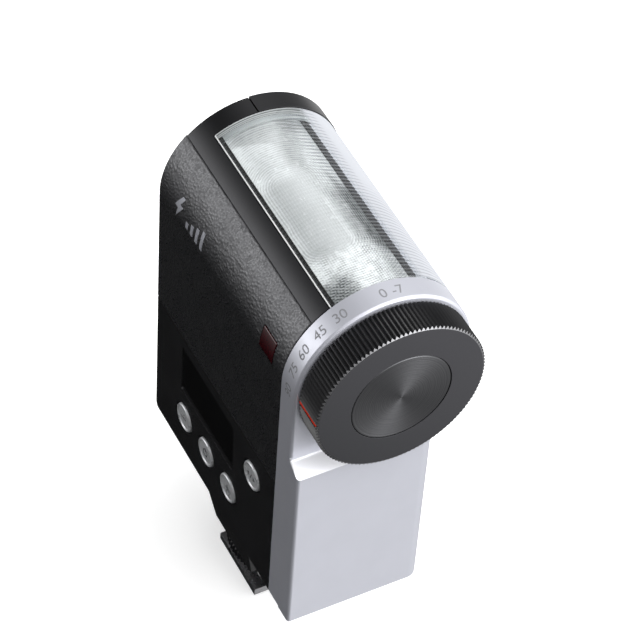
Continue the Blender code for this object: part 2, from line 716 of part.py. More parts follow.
def joints():
    for name, (position, pieces) in JOINTS.items():
        empty = bpy.data.objects.new(name, None)
        empty.location = Vector(position) * MM
        bpy.context.scene.collection.objects.link(empty)
        bpy.context.view_layer.update()
        for piece in pieces:
            obj = bpy.data.objects[piece]
            obj.parent = empty
            obj.matrix_parent_inverse = empty.matrix_world.inverted()


def shade():
    for obj in bpy.data.objects:
        if obj.type == "MESH":
            obj.data.shade_smooth()
            obj.data.set_sharp_from_angle(angle=math.radians(SMOOTH_ANGLE))


for old in list(bpy.data.objects):
    bpy.data.objects.remove(old, do_unlink=True)

for build in (rear_shell, front_shell, side_panel, leather_skins, lens_cover,
              display, sensor, electronics, buttons, case_screws,
              batteries, battery_door, bushes, head_drum, reflector, flash_tube,
              trigger, tilt_shaft, head_cable, detents, tilt_knob,
              foot_pedestal, shoe_foot, shoe_lock, joints, shade):
    build()
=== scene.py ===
# Looks of a compact speedlight flash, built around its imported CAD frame.
# It stands on its shoe foot at z = 0. +X is the side with the tilt knob, -X the plain end,
# -Y the rear with the buttons, +Y the front. The tilt axis runs along X in the round top.
# Geometry is given in millimetres and stored in metres.
import json
import math

import bmesh
import bpy
import numpy as np
from mathutils import Matrix, Vector


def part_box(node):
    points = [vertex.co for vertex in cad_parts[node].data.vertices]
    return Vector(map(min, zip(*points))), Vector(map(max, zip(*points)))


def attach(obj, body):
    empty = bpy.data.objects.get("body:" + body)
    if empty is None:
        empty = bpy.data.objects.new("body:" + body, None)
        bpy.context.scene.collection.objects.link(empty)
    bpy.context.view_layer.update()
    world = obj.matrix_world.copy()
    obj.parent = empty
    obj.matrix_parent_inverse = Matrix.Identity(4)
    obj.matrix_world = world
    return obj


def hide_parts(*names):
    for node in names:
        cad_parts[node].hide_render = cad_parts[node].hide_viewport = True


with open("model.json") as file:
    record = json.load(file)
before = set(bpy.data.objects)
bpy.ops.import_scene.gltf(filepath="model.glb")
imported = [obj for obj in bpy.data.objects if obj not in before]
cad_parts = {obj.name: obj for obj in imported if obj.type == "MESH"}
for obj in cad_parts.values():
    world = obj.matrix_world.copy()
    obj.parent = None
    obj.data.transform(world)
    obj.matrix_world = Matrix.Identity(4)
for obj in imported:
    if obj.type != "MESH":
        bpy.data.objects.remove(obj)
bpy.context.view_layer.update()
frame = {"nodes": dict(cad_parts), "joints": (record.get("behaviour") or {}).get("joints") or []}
MM = 0.001


def box(node):
    low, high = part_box(node)
    return [v / MM for v in low], [v / MM for v in high]


def centre_of(node):
    return [(low + high) / 2 for low, high in zip(*box(node))]


# ---- driving places, read from the frame ---------------------------------------------
TILT = [joint for joint in frame["joints"] if joint["name"] == "head_tilt"][0]
AXIS_Y, AXIS_Z = TILT["pos_m"][1] / MM, TILT["pos_m"][2] / MM
LEATHER_LOW, LEATHER_HIGH = box("rear_leather")
LEATHER_Z = LEATHER_LOW[2]
REAR_Y = LEATHER_LOW[1]
FRONT_Y = 16.0
BARREL_R = AXIS_Y - REAR_Y
FRONT_BARREL_R = BARREL_R + 0.1998
BASE_Z = box("rear_shell")[0][2]
END_X = box("front_shell")[0][0]            # plain end of the case
SHELL_X = box("front_shell")[1][0]          # where the shells meet the silver panel
RING_X, SIDE_X = box("side_panel")[0][0], box("side_panel")[1][0]
WALL_X = RING_X + 5.85                      # outer face of the panel, behind the knob
WALL = 2.0
SEAM = 0.12                                 # from the axis plane to either shell
REAR_CORNER, FRONT_CORNER = 0.5, 2.5        # radii of the case's lower corners
MIN_CORNER = 0.4

COVER_LOW, COVER_HIGH = box("lens_cover")
COVER_REAR, COVER_FRONT = 30.6, -135.0      # degrees from +Z, positive to the rear
PITCH = 1.145                               # of the cover's ribs
RIB_COUNT = int((COVER_HIGH[0] - COVER_LOW[0] - 0.9) / PITCH)
RIB_START = (COVER_LOW[0] + COVER_HIGH[0] - RIB_COUNT * PITCH) / 2

DRUM_LOW, DRUM_HIGH = box("head_drum")
DRUM_R = 18.4
DRUM_X0, DRUM_X1 = DRUM_LOW[0] + 3.2, DRUM_HIGH[0]

SENSOR_LOW, SENSOR_HIGH = box("sensor_window")
SCREEN_LOW, SCREEN_HIGH = box("display_window")
FRONT_LEATHER_LOW, FRONT_LEATHER_HIGH = box("front_leather")
DOOR_LOW, DOOR_HIGH = box("battery_door")
DOOR_GAP = 0.25
PIN_AT = centre_of("door_hinge_pin")[0::2]
BUTTONS = {name: centre_of(name)[0::2]
           for name in ("button_left", "button_middle", "button_right", "button_side")}
BUTTON_HOLE_R = 3.85 + 0.28


# ---- mesh helpers --------------------------------------------------------------------
def link(name, data):
    obj = bpy.data.objects.new(name, data)
    bpy.context.scene.collection.objects.link(obj)
    return obj


def add(name, verts, faces, fix=True):
    """An object from millimetres; fix turns the normals outward."""
    mesh = bpy.data.meshes.new(name)
    mesh.from_pydata((np.asarray(verts, float) * MM).tolist(), [], faces)
    if fix:
        bm = bmesh.new()
        bm.from_mesh(mesh)
        bmesh.ops.recalc_face_normals(bm, faces=bm.faces)
        bm.to_mesh(mesh)
        bm.free()
    return link(name, mesh)


# Point from its place along an axis and its two other coordinates.
ORDER = {"X": lambda a, u, v: (a, u, v),
         "Y": lambda a, u, v: (u, a, v),
         "Z": lambda a, u, v: (u, v, a)}


def bands(rings, seg, closed=True):
    """Quads between successive rings of seg vertices."""
    faces = []
    for i in range(rings if closed else rings - 1):
        j = (i + 1) % rings
        for k in range(seg):
            m = (k + 1) % seg
            faces.append([i * seg + k, i * seg + m, j * seg + m, j * seg + k])
    return faces


def prism_faces(n):
    return [list(range(n)), list(range(2 * n - 1, n - 1, -1))] + bands(2, n, closed=False)


def prism(name, outline, low, high, axis="X", outline_high=None):
    order = ORDER[axis]
    verts = [order(low, u, v) for u, v in outline]
    verts += [order(high, u, v) for u, v in outline_high or outline]
    return add(name, verts, prism_faces(len(outline)))


def turned(name, profile, axis="X", centre=(AXIS_Y, AXIS_Z), seg=96):
    """A closed (along, radius) profile turned about an axis; radius 0 gives a pole."""
    order = ORDER[axis]
    verts, rings = [], []
    for along, radius in profile:
        if radius < 1e-6:
            rings.append([len(verts)])
            verts.append(order(along, centre[0], centre[1]))
        else:
            rings.append(list(range(len(verts), len(verts) + seg)))
            for k in range(seg):
                t = 2 * math.pi * k / seg
                verts.append(order(along, centre[0] + radius * math.cos(t),
                                   centre[1] + radius * math.sin(t)))
    faces = []
    for a, b in zip(rings, rings[1:] + rings[:1]):
        if len(a) == 1 and len(b) == 1:
            continue
        for k in range(seg):
            m = (k + 1) % seg
            if len(a) == 1:
                faces.append([a[0], b[m], b[k]])
            elif len(b) == 1:
                faces.append([a[k], a[m], b[0]])
            else:
                faces.append([a[k], a[m], b[m], b[k]])
    return add(name, verts, faces)


def stacked(name, rows, seg, axis, centre, phase=0.0):
    """Closed rings of (along, radius), each one number or one per step round the ring."""
    angles = [2 * math.pi * k / seg + phase for k in range(seg)]
    cosines = np.array([math.cos(t) for t in angles])
    sines = np.array([math.sin(t) for t in angles])
    rings = []
    for along, radius in rows:
        u, v = centre[0] + radius * cosines, centre[1] + radius * sines
        rings.append(np.stack(ORDER[axis](np.broadcast_to(along, seg), u, v), -1))
    return add(name, np.concatenate(rings), bands(len(rows), seg))


def rod(name, low, high, radius, axis="X", centre=(AXIS_Y, AXIS_Z), seg=64):
    return turned(name, [(low, 0), (low, radius), (high, radius), (high, 0)], axis, centre, seg)


def block(name, x, y, z):
    corners = [(x[0], y[0]), (x[1], y[0]), (x[1], y[1]), (x[0], y[1])]
    return prism(name, corners, z[0], z[1], "Z")


def evaluated(obj):
    """Mesh of obj with its modifiers applied."""
    bpy.context.view_layer.update()
    graph = bpy.context.evaluated_depsgraph_get()
    return bpy.data.meshes.new_from_object(obj.evaluated_get(graph))


def baked(obj):
    mesh = evaluated(obj)
    obj.modifiers.clear()
    obj.data = mesh
    return obj


def taken(obj):
    """Removes obj and returns its vertices and faces."""
    mesh = evaluated(obj)
    bpy.data.objects.remove(obj, do_unlink=True)
    verts = np.array([v.co for v in mesh.vertices])
    faces = [list(p.vertices) for p in mesh.polygons]
    bpy.data.meshes.remove(mesh)
    return verts, faces


def merge(parts):
    verts, faces, n = [], [], 0
    for v, f in parts:
        verts.append(v)
        faces += [[i + n for i in poly] for poly in f]
        n += len(v)
    return np.concatenate(verts), faces


def combine(obj, operation, *others):
    for other in others:
        mod = obj.modifiers.new("b", "BOOLEAN")
        mod.operation, mod.solver, mod.object = operation, "EXACT", other
        baked(obj)
        bpy.data.objects.remove(other, do_unlink=True)
    return obj


def cut(obj, *others):
    return combine(obj, "DIFFERENCE", *others)


def fuse(obj, *others):
    return combine(obj, "UNION", *others)


def tidy(obj, distance=0.004):
    """Merges the near-coincident vertices left by booleans."""
    bm = bmesh.new()
    bm.from_mesh(obj.data)
    bmesh.ops.remove_doubles(bm, verts=bm.verts, dist=distance * MM)
    bmesh.ops.dissolve_degenerate(bm, edges=bm.edges, dist=distance * MM)
    bm.to_mesh(obj.data)
    bm.free()
    return obj


def slice_up(obj, *cuts):
    """Divides the faces of obj along planes, given as (axis index, places) pairs."""
    bm = bmesh.new()
    bm.from_mesh(obj.data)
    for axis, places in cuts:
        for place in places:
            point, normal = [0, 0, 0], [0, 0, 0]
            point[axis], normal[axis] = place * MM, 1
            bmesh.ops.bisect_plane(bm, geom=bm.verts[:] + bm.edges[:] + bm.faces[:],
                                   plane_co=point, plane_no=normal)
    bm.to_mesh(obj.data)
    bm.free()


def add_bevel(obj, width, angle, segments):
    mod = obj.modifiers.new("edges", "BEVEL")
    mod.width, mod.segments = width * MM, segments
    mod.limit_method, mod.angle_limit = "ANGLE", math.radians(angle)


def bevel(obj, width, angle=34, segments=3):
    add_bevel(obj, width, angle, segments)
    return baked(obj)


def smooth(obj, angle=32):
    obj.data.shade_smooth()
    obj.data.set_sharp_from_angle(angle=math.radians(angle))


# ---- outlines, as (y, z) points ------------------------------------------------------
def polar(angle, radius):
    """Point about the tilt axis; the angle runs from +Z to the rear."""
    t = math.radians(angle)
    return (AXIS_Y - radius * math.sin(t), AXIS_Z + radius * math.cos(t))


def arc(start, stop, radius, step=2.0):
    n = max(1, int(math.ceil(abs(stop - start) / step)))
    return [polar(start + (stop - start) * i / n, radius) for i in range(n + 1)]


def sector(start, stop, inner, outer, step=2.0):
    return arc(start, stop, outer, step) + arc(stop, start, inner, step)


def fillet(cu, cv, radius, start, stop, n=6):
    angles = [math.radians(start + (stop - start) * i / n) for i in range(n + 1)]
    return [(cu + radius * math.cos(t), cv + radius * math.sin(t)) for t in angles]


def rounded(u, v, r, n=6):
    """Rectangle with rounded corners, between the limits u and v."""
    return (fillet(u[1] - r, v[1] - r, r, 0, 90, n) + fillet(u[0] + r, v[1] - r, r, 90, 180, n)
            + fillet(u[0] + r, v[0] + r, r, 180, 270, n)
            + fillet(u[1] - r, v[0] + r, r, 270, 360, n))


def front_angle(inset, radius):
    """Angle at which the barrel runs into the flat front."""
    return -(180.0 - math.degrees(math.asin((FRONT_Y - inset - AXIS_Y) / (radius - inset))))


def corner_radius(radius, inset):
    return max(radius - inset, MIN_CORNER)


def rear_corner(inset):
    r = corner_radius(REAR_CORNER, inset)
    return fillet(REAR_Y + inset + r, BASE_Z + inset + r, r, 270, 180)


def front_corner(inset):
    r = corner_radius(FRONT_CORNER, inset)
    return fillet(FRONT_Y - inset - r, BASE_Z + inset + r, r, 0, -90)


def side_outline(inset=0.0):
    top = arc(90, front_angle(inset, BARREL_R), BARREL_R - inset)
    return rear_corner(inset) + top + front_corner(inset)


def rear_outline(inset=0.0, edge=AXIS_Y - SEAM):
    """Rear half of the case up to y = edge."""
    reach = AXIS_Y - min(edge, AXIS_Y - SEAM)
    stop = math.degrees(math.asin(reach / (BARREL_R - inset)))
    pts = [(edge, BASE_Z + inset)] + rear_corner(inset) + arc(90, stop, BARREL_R - inset)
    return pts + ([(edge, pts[-1][1])] if edge > AXIS_Y else [])


def front_outline(inset=0.0, edge=AXIS_Y + SEAM):
    """Front half of the case from y = edge."""
    radius = FRONT_BARREL_R
    reach = max(edge, AXIS_Y + SEAM) - AXIS_Y
    start = -math.degrees(math.asin(reach / (radius - inset)))
    pts = arc(start, front_angle(inset, radius), radius - inset) + front_corner(inset)
    pts.append((edge, BASE_Z + inset))
    return pts + ([(edge, pts[0][1])] if edge < AXIS_Y else [])


# ---- node helper ---------------------------------------------------------------------
class Nodes:
    """Writes the node tree of a material or world."""

    def __init__(self, owner, shader="Principled BSDF", coordinates="Object"):
        owner.use_nodes = True
        self.owner, self.tree = owner, owner.node_tree
        self.shader = self.tree.nodes[shader]
        self.coord = self.new("ShaderNodeTexCoord").outputs[coordinates]

    def new(self, kind, **inputs):
        node = self.tree.nodes.new(kind)
        self.feed_all(node, inputs)
        return node

    def feed(self, socket, value):
        """Links a socket, or sets a value; colours may leave out their alpha."""
        if isinstance(value, bpy.types.NodeSocket):
            self.tree.links.new(value, socket)
        elif isinstance(value, tuple) and len(value) == 3 and len(socket.default_value) == 4:
            socket.default_value = (*value, 1.0)
        else:
            socket.default_value = value

    def feed_all(self, node, inputs):
        for key, value in inputs.items():
            self.feed(node.inputs[key.replace("_", " ")], value)

    def finish(self, **inputs):
        """Feeds the main shader and returns the material or world."""
        self.feed_all(self.shader, inputs)
        return self.owner

    def surface(self, shader):
        self.feed(self.tree.nodes["Material Output"].inputs["Surface"], shader)
        return self.owner

    def noise(self, scale, detail=3.0, rough=0.5, stretch=None):
        vector = self.coord
        if stretch:
            vector = self.new("ShaderNodeMapping", Vector=vector, Scale=stretch).outputs["Vector"]
        return self.new("ShaderNodeTexNoise", Vector=vector, Scale=scale, Detail=detail,
                        Roughness=rough).outputs["Fac"]

    def cells(self, scale):
        node = self.new("ShaderNodeTexVoronoi", Vector=self.coord, Scale=scale)
        return node.outputs["Distance"]

    def ramp(self, value, low, high, out_low=0.0, out_high=1.0):
        return self.new("ShaderNodeMapRange", Value=value, From_Min=low, From_Max=high,
                        To_Min=out_low, To_Max=out_high).outputs["Result"]

    def patchy(self, scale, detail, low=0.0, high=1.0):
        """Noise spread between low and high."""
        return self.ramp(self.noise(scale, detail), 0.3, 0.7, low, high)

    def slow(self):
        """Slow noise, for colour drift."""
        return self.ramp(self.noise(140.0, 2.0), 0.35, 0.65)

    def vary(self, drift, colour, amount):
        dark, light = ([min(1.0, c * k) for c in colour] for k in (1 - amount, 1 + amount))
        return self.mix(drift, tuple(dark), tuple(light))

    def mix(self, fac, a, b):
        node = self.tree.nodes.new("ShaderNodeMix")
        node.data_type = "RGBA"
        for index, value in ((0, fac), (6, a), (7, b)):
            self.feed(node.inputs[index], value)
        return node.outputs[2]

    def mix_shader(self, fac, a, b):
        node = self.new("ShaderNodeMixShader")
        for index, value in enumerate((fac, a, b)):
            self.feed(node.inputs[index], value)
        return node.outputs[0]

    def math(self, op, a, b=0.0):
        node = self.tree.nodes.new("ShaderNodeMath")
        node.operation = op
        self.feed(node.inputs[0], a)
        if b is not None:
            self.feed(node.inputs[1], b)
        return node.outputs[0]

    def product(self, first, *others):
        for other in others:
            first = self.math("MULTIPLY", first, other)
        return first

    def dot(self, a, b):
        node = self.new("ShaderNodeVectorMath")
        node.operation = "DOT_PRODUCT"
        self.feed(node.inputs[0], a)
        self.feed(node.inputs[1], b)
        return node.outputs["Value"]

    def separate(self, vector=None):
        return self.new("ShaderNodeSeparateXYZ", Vector=vector or self.coord).outputs

    def axis_radius(self, y, z):
        """Distance from the tilt axis."""
        dy = self.math("SUBTRACT", y, AXIS_Y * MM)
        dz = self.math("SUBTRACT", z, AXIS_Z * MM)
        return self.math("SQRT", self.math("ADD", self.product(dy, dy), self.product(dz, dz)))

    def attribute(self, name):
        node = self.new("ShaderNodeAttribute")
        node.attribute_name = name
        return node.outputs["Fac"]

    def bevelled(self, samples, radius):
        """Normals with the edges rounded off."""
        node = self.new("ShaderNodeBevel", Radius=radius)
        node.samples = samples
        return node.outputs[0]

    def unseen(self, path):
        """1 for shadow and diffuse rays."""
        return self.math("MAXIMUM", path.outputs["Is Shadow Ray"], path.outputs["Is Diffuse Ray"])

    def bump(self, height, strength, distance, normal=None):
        node = self.new("ShaderNodeBump", Strength=strength, Distance=distance * MM, Height=height)
        if normal is not None:
            self.feed(node.inputs["Normal"], normal)
        return node.outputs["Normal"]

    def grain(self, scale, strength, normal=None):
        return self.bump(self.noise(scale, 4.0, 0.6), strength, distance=0.02, normal=normal)


def new_material(name):
    return Nodes(bpy.data.materials.new(name))


# ---- materials -----------------------------------------------------------------------
def simple(name, colour, rough, metal, grain, strength, drift, gloss, **extra):
    """Painted or moulded surface: fine grain, a slow colour drift and uneven gloss."""
    n = new_material(name)
    return n.finish(Base_Color=n.vary(n.slow(), colour, drift), Metallic=metal,
                    Roughness=n.patchy(420.0, 4.0, rough - gloss, rough + gloss),
                    Normal=n.grain(grain, strength), **extra)


def worn_edges_painted_base_light(name, colour, lower, rough, worn):
    """Moulded black: paler towards the base, which is painted light, with slightly lighter worn
    convex edges.
    """
    n = new_material(name)
    high = n.ramp(n.separate()[2], 66 * MM, 86 * MM)
    normal = n.new("ShaderNodeNewGeometry").outputs["Normal"]
    edge = n.ramp(n.dot(n.bevelled(samples=4, radius=0.25 * MM), normal), 0.93, 0.80)
    wear = n.product(edge, n.ramp(n.noise(900.0, 5.0, 0.7), 0.42, 0.68))
    drift = n.slow()
    # painted light: the moulding's colour is paler towards the base and darker towards the top
    ground = n.mix(high, n.vary(drift, lower, 0.1), n.vary(drift, colour, 0.1))
    return n.finish(Base_Color=n.mix(wear, ground, worn), Specular_Tint=(0.95, 0.955, 1.0),
                    Roughness=n.ramp(n.noise(420.0, 3.0), 0.1, 0.9, rough - 0.03, rough + 0.03),
                    Normal=n.grain(5200.0, 0.10))


def leather():
    """Leatherette: creases darkened with painted shade, and duller, after the mesh's 'grain'
    heights.
    """
    n = new_material("leatherette")
    crease = n.ramp(n.attribute("grain"), -0.13, -0.02)
    fine = n.noise(3600.0, 5.0, 0.65)
    pores = n.ramp(n.cells(2600.0), 0.0, 0.45)
    polish = n.math("ADD", n.product(crease, 0.6), n.product(fine, 0.5))
    # painted shade: the base colour is darker in the grain's creases
    return n.finish(Base_Color=n.mix(crease, (0.0090, 0.0090, 0.0098), (0.0175, 0.0175, 0.0195)),
                    Roughness=n.ramp(polish, 0.2, 1.0, 0.46, 0.19),
                    Specular_IOR_Level=1.0, Specular_Tint=(0.955, 0.96, 1.0),
                    Normal=n.bump(pores, 0.18, 0.03, n.bump(fine, 0.55, 0.040)))


def silver():
    """Satin silver paint. The crease over the side's sloping step is a soft cove, and the step is
    paler through a painted highlight: a slight glow and its own base colour."""
    n = new_material("silver_paint")
    x, _, z = n.separate()
    near_crease = n.product(n.ramp(z, 74.0 * MM, 74.8 * MM), n.ramp(z, 78.2 * MM, 77.2 * MM),
                            n.ramp(x, (WALL_X - 0.30) * MM, (WALL_X - 0.12) * MM))
    cove = n.bevelled(samples=8, radius=n.product(near_crease, 0.9 * MM))
    facing = n.separate(cove)
    # mask of the sloping step, where a highlight is painted
    step = n.product(n.ramp(facing[2], 0.10, 0.50), n.ramp(facing[0], 0.20, 0.45),
                     n.ramp(z, 78.0 * MM, 77.0 * MM))
    paint = n.vary(n.slow(), (0.56, 0.57, 0.63), 0.01)
    # painted highlight: the step glows a little and takes its own base colour
    return n.finish(Base_Color=n.mix(step, paint, (0.56, 0.565, 0.60)), Metallic=0.40,
                    Roughness=n.patchy(420.0, 4.0, 0.30, 0.36),
                    Normal=n.grain(9000.0, 0.04, normal=cove),
                    Emission_Color=(0.97, 0.975, 1.0), Emission_Strength=n.product(step, 0.36))


def knob_face():
    """Satin face of the knob, paler towards the upper front: painted light."""
    n = new_material("knob_face_satin")
    _, y, z = n.separate()
    middle = AXIS_Y + AXIS_Z
    fade = n.ramp(n.math("ADD", y, z), (middle - 26) * MM, (middle + 22) * MM)
    # painted light: the base colour brightens towards the upper front
    return n.finish(Base_Color=n.mix(fade, (0.0258, 0.0262, 0.0300), (0.0480, 0.0476, 0.0540)),
                    Metallic=0.35, Roughness=n.patchy(420.0, 4.0, 0.42, 0.46),
                    Normal=n.grain(11000.0, 0.05))


def display():
    n = new_material("display_gloss")
    film = n.patchy(60.0, 2.0)
    return n.finish(Base_Color=n.mix(film, (0.0062, 0.0062, 0.0066), (0.0078, 0.0078, 0.0084)),
                    Roughness=n.patchy(900.0, 3.0, 0.05, 0.085), Coat_Weight=0.3,
                    Coat_Roughness=0.04, Specular_IOR_Level=0.35)


def red_window():
    n = new_material("red_window")
    facing = n.new("ShaderNodeLayerWeight", Blend=0.35).outputs["Facing"]
    return n.finish(Base_Color=n.mix(facing, (0.055, 0.0012, 0.0045), (0.022, 0.0008, 0.0025)),
                    Roughness=n.patchy(700.0, 2.0, 0.06, 0.12), Coat_Weight=1.0,
                    Coat_Roughness=0.03)


def spun_disc():
    """Spun metal: circular tool marks about the tilt axis stretch the highlight radially."""
    n = new_material("spun_disc")
    _, y, z = n.separate()
    radius = n.axis_radius(y, z)
    rings = n.new("ShaderNodeTexNoise", Scale=5200.0, Detail=4.0, Roughness=0.6)
    rings.noise_dimensions = "1D"
    n.feed(rings.inputs["W"], radius)
    marks = rings.outputs["Fac"]
    wave = n.math("SINE", n.product(radius, 2 * math.pi / (0.62 * MM)))
    height = n.math("ADD", marks, n.product(wave, 0.30))
    tangent = n.new("ShaderNodeTangent")
    tangent.direction_type, tangent.axis = "RADIAL", "X"
    return n.finish(Base_Color=n.mix(n.ramp(marks, 0.3, 0.7),
                                     (0.085, 0.086, 0.092), (0.135, 0.136, 0.142)),
                    Metallic=1.0, Roughness=0.30, Anisotropic=0.95, Anisotropic_Rotation=0.297,
                    Tangent=tangent.outputs["Tangent"], Normal=n.bump(height, 0.16, 0.012))


def mirror():
    """Satin reflector with a fine crossed texture, along the head and across it."""
    n = new_material("reflector_satin")
    along = n.noise(2600.0, 3.0, 0.55, stretch=(0.02, 1.0, 1.0))
    across = n.noise(2400.0, 3.0, 0.55, stretch=(1.0, 0.03, 0.03))
    slow = n.noise(110.0, 2.0, 0.5)
    both = n.math("ADD", n.product(along, 0.5), n.product(across, 0.5))
    shade = n.math("ADD", n.product(both, 0.75), n.product(slow, 0.25))
    return n.finish(Base_Color=n.mix(n.ramp(shade, 0.36, 0.64),
                                     (0.60, 0.655, 0.645), (0.90, 0.935, 0.925)),
                    Metallic=0.40, Roughness=n.ramp(both, 0.3, 0.7, 0.22, 0.36),
                    Normal=n.bump(both, 0.35, 0.04))


def ribbed_clear():
    """Clear ribbed moulding: gloss by angle over a clear wall, and a fine shade in each rib's
    root, which grows towards the front side and fades lower down."""
    n = new_material("ribbed_clear")
    x, y, z = n.separate()
    turn = n.math("ARCTAN2", n.math("SUBTRACT", AXIS_Y * MM, y),
                  n.math("SUBTRACT", z, AXIS_Z * MM))
    along = n.math("DIVIDE", n.math("SUBTRACT", x, RIB_START * MM), PITCH * MM)
    root = n.ramp(n.math("PINGPONG", along, 0.5), 0.02, 0.17, 1.0, 0.0)

    def by_angle(start, stop, low, high):
        return n.ramp(turn, math.radians(start), math.radians(stop), low, high)

    grow = by_angle(-6, -30, 0.10, 1.0)
    fade = by_angle(-42, -62, 1.0, 0.20)
    # the lower part towards the plain end has no shade
    plain = n.product(by_angle(-35, -39, 0.0, 1.0), n.ramp(x, 1 * MM, -7 * MM, 0.0, 1.0))
    shade = n.product(n.product(root, grow),
                      n.product(fade, n.math("SUBTRACT", 1.0, plain)))
    clear = n.new("ShaderNodeBsdfTransparent",
                  Color=n.mix(shade, (0.972, 0.978, 0.980), (0.56, 0.575, 0.60)))
    gloss = n.new("ShaderNodeBsdfAnisotropic", Color=(1.0, 1.0, 1.0),
                  Roughness=n.patchy(500.0, 3.0, 0.05, 0.10))
    fresnel = n.new("ShaderNodeFresnel", IOR=1.42).outputs[0]
    unseen = n.unseen(n.new("ShaderNodeLightPath"))
    reflects = n.product(n.math("MINIMUM", fresnel, 0.12), n.math("SUBTRACT", 1.0, unseen))
    # the outer face fills in pale where it is seen at a slant
    facing = n.new("ShaderNodeLayerWeight", Blend=0.5).outputs["Facing"]
    outside = n.ramp(n.axis_radius(y, z), (BARREL_R - 0.7) * MM, (BARREL_R - 0.4) * MM)
    filled = n.product(n.ramp(facing, 0.535, 0.61, 0.0, 0.97), outside,
                       n.math("SUBTRACT", 1.0, unseen))
    pale = n.new("ShaderNodeBsdfDiffuse",
                 Color=n.mix(shade, (0.49, 0.505, 0.540), (0.25, 0.26, 0.285)))
    body = n.mix_shader(filled, clear.outputs[0], pale.outputs[0])
    return n.surface(n.mix_shader(reflects, body, gloss.outputs[0]))


def cover_end():
    """Plain end of the cover: fine concentric lines, calmer with depth."""
    n = new_material("cover_end_lines")
    _, y, z = n.separate()
    inward = n.math("SUBTRACT", BARREL_R * MM, n.axis_radius(y, z))
    deep = n.math("DIVIDE", inward, 0.62 * MM)      # in lines
    wave = n.ramp(n.math("PINGPONG", n.math("ADD", deep, 0.40), 0.5), 0.05, 0.40)
    calm = n.ramp(deep, 0.8, 2.6, 0.0, 0.6)
    level = n.math("MAXIMUM", n.math("SUBTRACT", 1.0, wave), calm)
    return n.finish(Base_Color=n.mix(level, (0.055, 0.058, 0.060), (0.50, 0.52, 0.52)),
                    Roughness=n.patchy(600.0, 3.0, 0.25, 0.4),
                    Normal=n.bump(n.noise(2500.0), 0.1, 0.02))


def window_pearl():
    """Pale, slightly see-through, toned by the window sheet's attribute, which carries painted
    highlights and painted shade along with the groove lines; the brightest parts glow as a painted
    highlight.
    """
    n = new_material("window_pearl")
    tone_with_painted_light = n.attribute("tone_with_painted_light")
    shade = n.math("ADD", tone_with_painted_light, n.ramp(n.noise(900.0, 4.0, 0.6), 0.3, 0.7, -0.03, 0.03))
    return n.finish(Base_Color=n.mix(shade, (0.045, 0.055, 0.055), (0.90, 0.925, 0.93)),
                    Metallic=0.15, Roughness=n.patchy(700.0, 3.0, 0.18, 0.28), Alpha=0.88,
                    Normal=n.bump(n.noise(2600.0, 3.0, 0.55), 0.12, 0.03),
                    # painted highlight: the brightest tones glow
                    Emission_Color=(0.97, 1.0, 0.99),
                    Emission_Strength=n.ramp(tone_with_painted_light, 0.90, 1.25, 0.0, 0.34))


def tube_glass():
    """Clear glass. Shadow rays pass, so that what lies behind it is lit."""
    n = new_material("tube_glass")
    n.finish(Base_Color=(0.97, 0.98, 0.98), IOR=1.49, Transmission_Weight=1.0,
             Specular_IOR_Level=0.5, Roughness=n.patchy(300.0, 2.0, 0.0, 0.02))
    see = n.new("ShaderNodeBsdfTransparent", Color=(0.92, 0.92, 0.92))
    unseen = n.unseen(n.new("ShaderNodeLightPath"))
    return n.surface(n.mix_shader(unseen, n.shader.outputs[0], see.outputs[0]))


def board():
    """Circuit board: brick-like tracks and round pads."""
    n = new_material("circuit_board")
    upright = n.new("ShaderNodeMapping", Vector=n.coord, Rotation=(math.radians(90), 0, 0))
    brick = n.new("ShaderNodeTexBrick", Vector=upright.outputs["Vector"], Scale=260.0,
                  Mortar_Size=0.03, Color1=(0.010, 0.075, 0.035), Color2=(0.013, 0.095, 0.045),
                  Mortar=(0.030, 0.20, 0.09))
    pads = n.ramp(n.cells(520.0), 0.10, 0.13)
    return n.finish(Base_Color=n.mix(pads, (0.62, 0.55, 0.36), brick.outputs["Color"]),
                    Roughness=0.38, Normal=n.bump(brick.outputs["Fac"], 0.2, 0.02))


def winding():
    n = new_material("enamelled_winding")
    wave = n.new("ShaderNodeTexWave", Vector=n.coord, Scale=720.0, Distortion=0.4).outputs["Fac"]
    return n.finish(Base_Color=n.mix(wave, (0.28, 0.10, 0.035), (0.78, 0.36, 0.16)),
                    Metallic=0.9, Roughness=0.32, Normal=n.bump(wave, 0.6, 0.08))


def sleeve(name, body, band, band_x):
    """Printed sleeve whose colour changes at band_x."""
    n = new_material(name)
    step = n.ramp(n.separate()[0], band_x * MM - 0.0001, band_x * MM + 0.0001)
    return n.finish(Base_Color=n.mix(step, body, band), Metallic=0.15,
                    Roughness=n.patchy(300.0, 3.0, 0.24, 0.36),
                    Normal=n.bump(n.noise(700.0, 3.0), 0.1, 0.03))


MATERIALS = {
    "black": worn_edges_painted_base_light("moulded_black", colour=(0.0055, 0.0055, 0.0060),
                       lower=(0.0175, 0.0175, 0.0185), rough=0.25, worn=(0.03, 0.03, 0.032)),
    "front_black": worn_edges_painted_base_light("moulded_black_front", colour=(0.0060, 0.0060, 0.0066),
                             lower=(0.0165, 0.0165, 0.0175), rough=0.29,
                             worn=(0.035, 0.035, 0.037)),
    "leather": leather(),
    "silver": silver(),
    "knob_face": knob_face(),
    "display": display(),
    "red_window": red_window(),
    "disc": spun_disc(),
    "mirror": mirror(),
    "cover": ribbed_clear(),
    "cover_end": cover_end(),
    "window": window_pearl(),
    "tube": tube_glass(),
    "board": board(),
    "winding": winding(),
    "sleeve": sleeve("capacitor_sleeve", body=(0.018, 0.030, 0.11), band=(0.55, 0.57, 0.60),
                     band_x=6.5),
    "cell": sleeve("cell_sleeve", body=(0.045, 0.20, 0.11), band=(0.62, 0.50, 0.22), band_x=8.0),
}
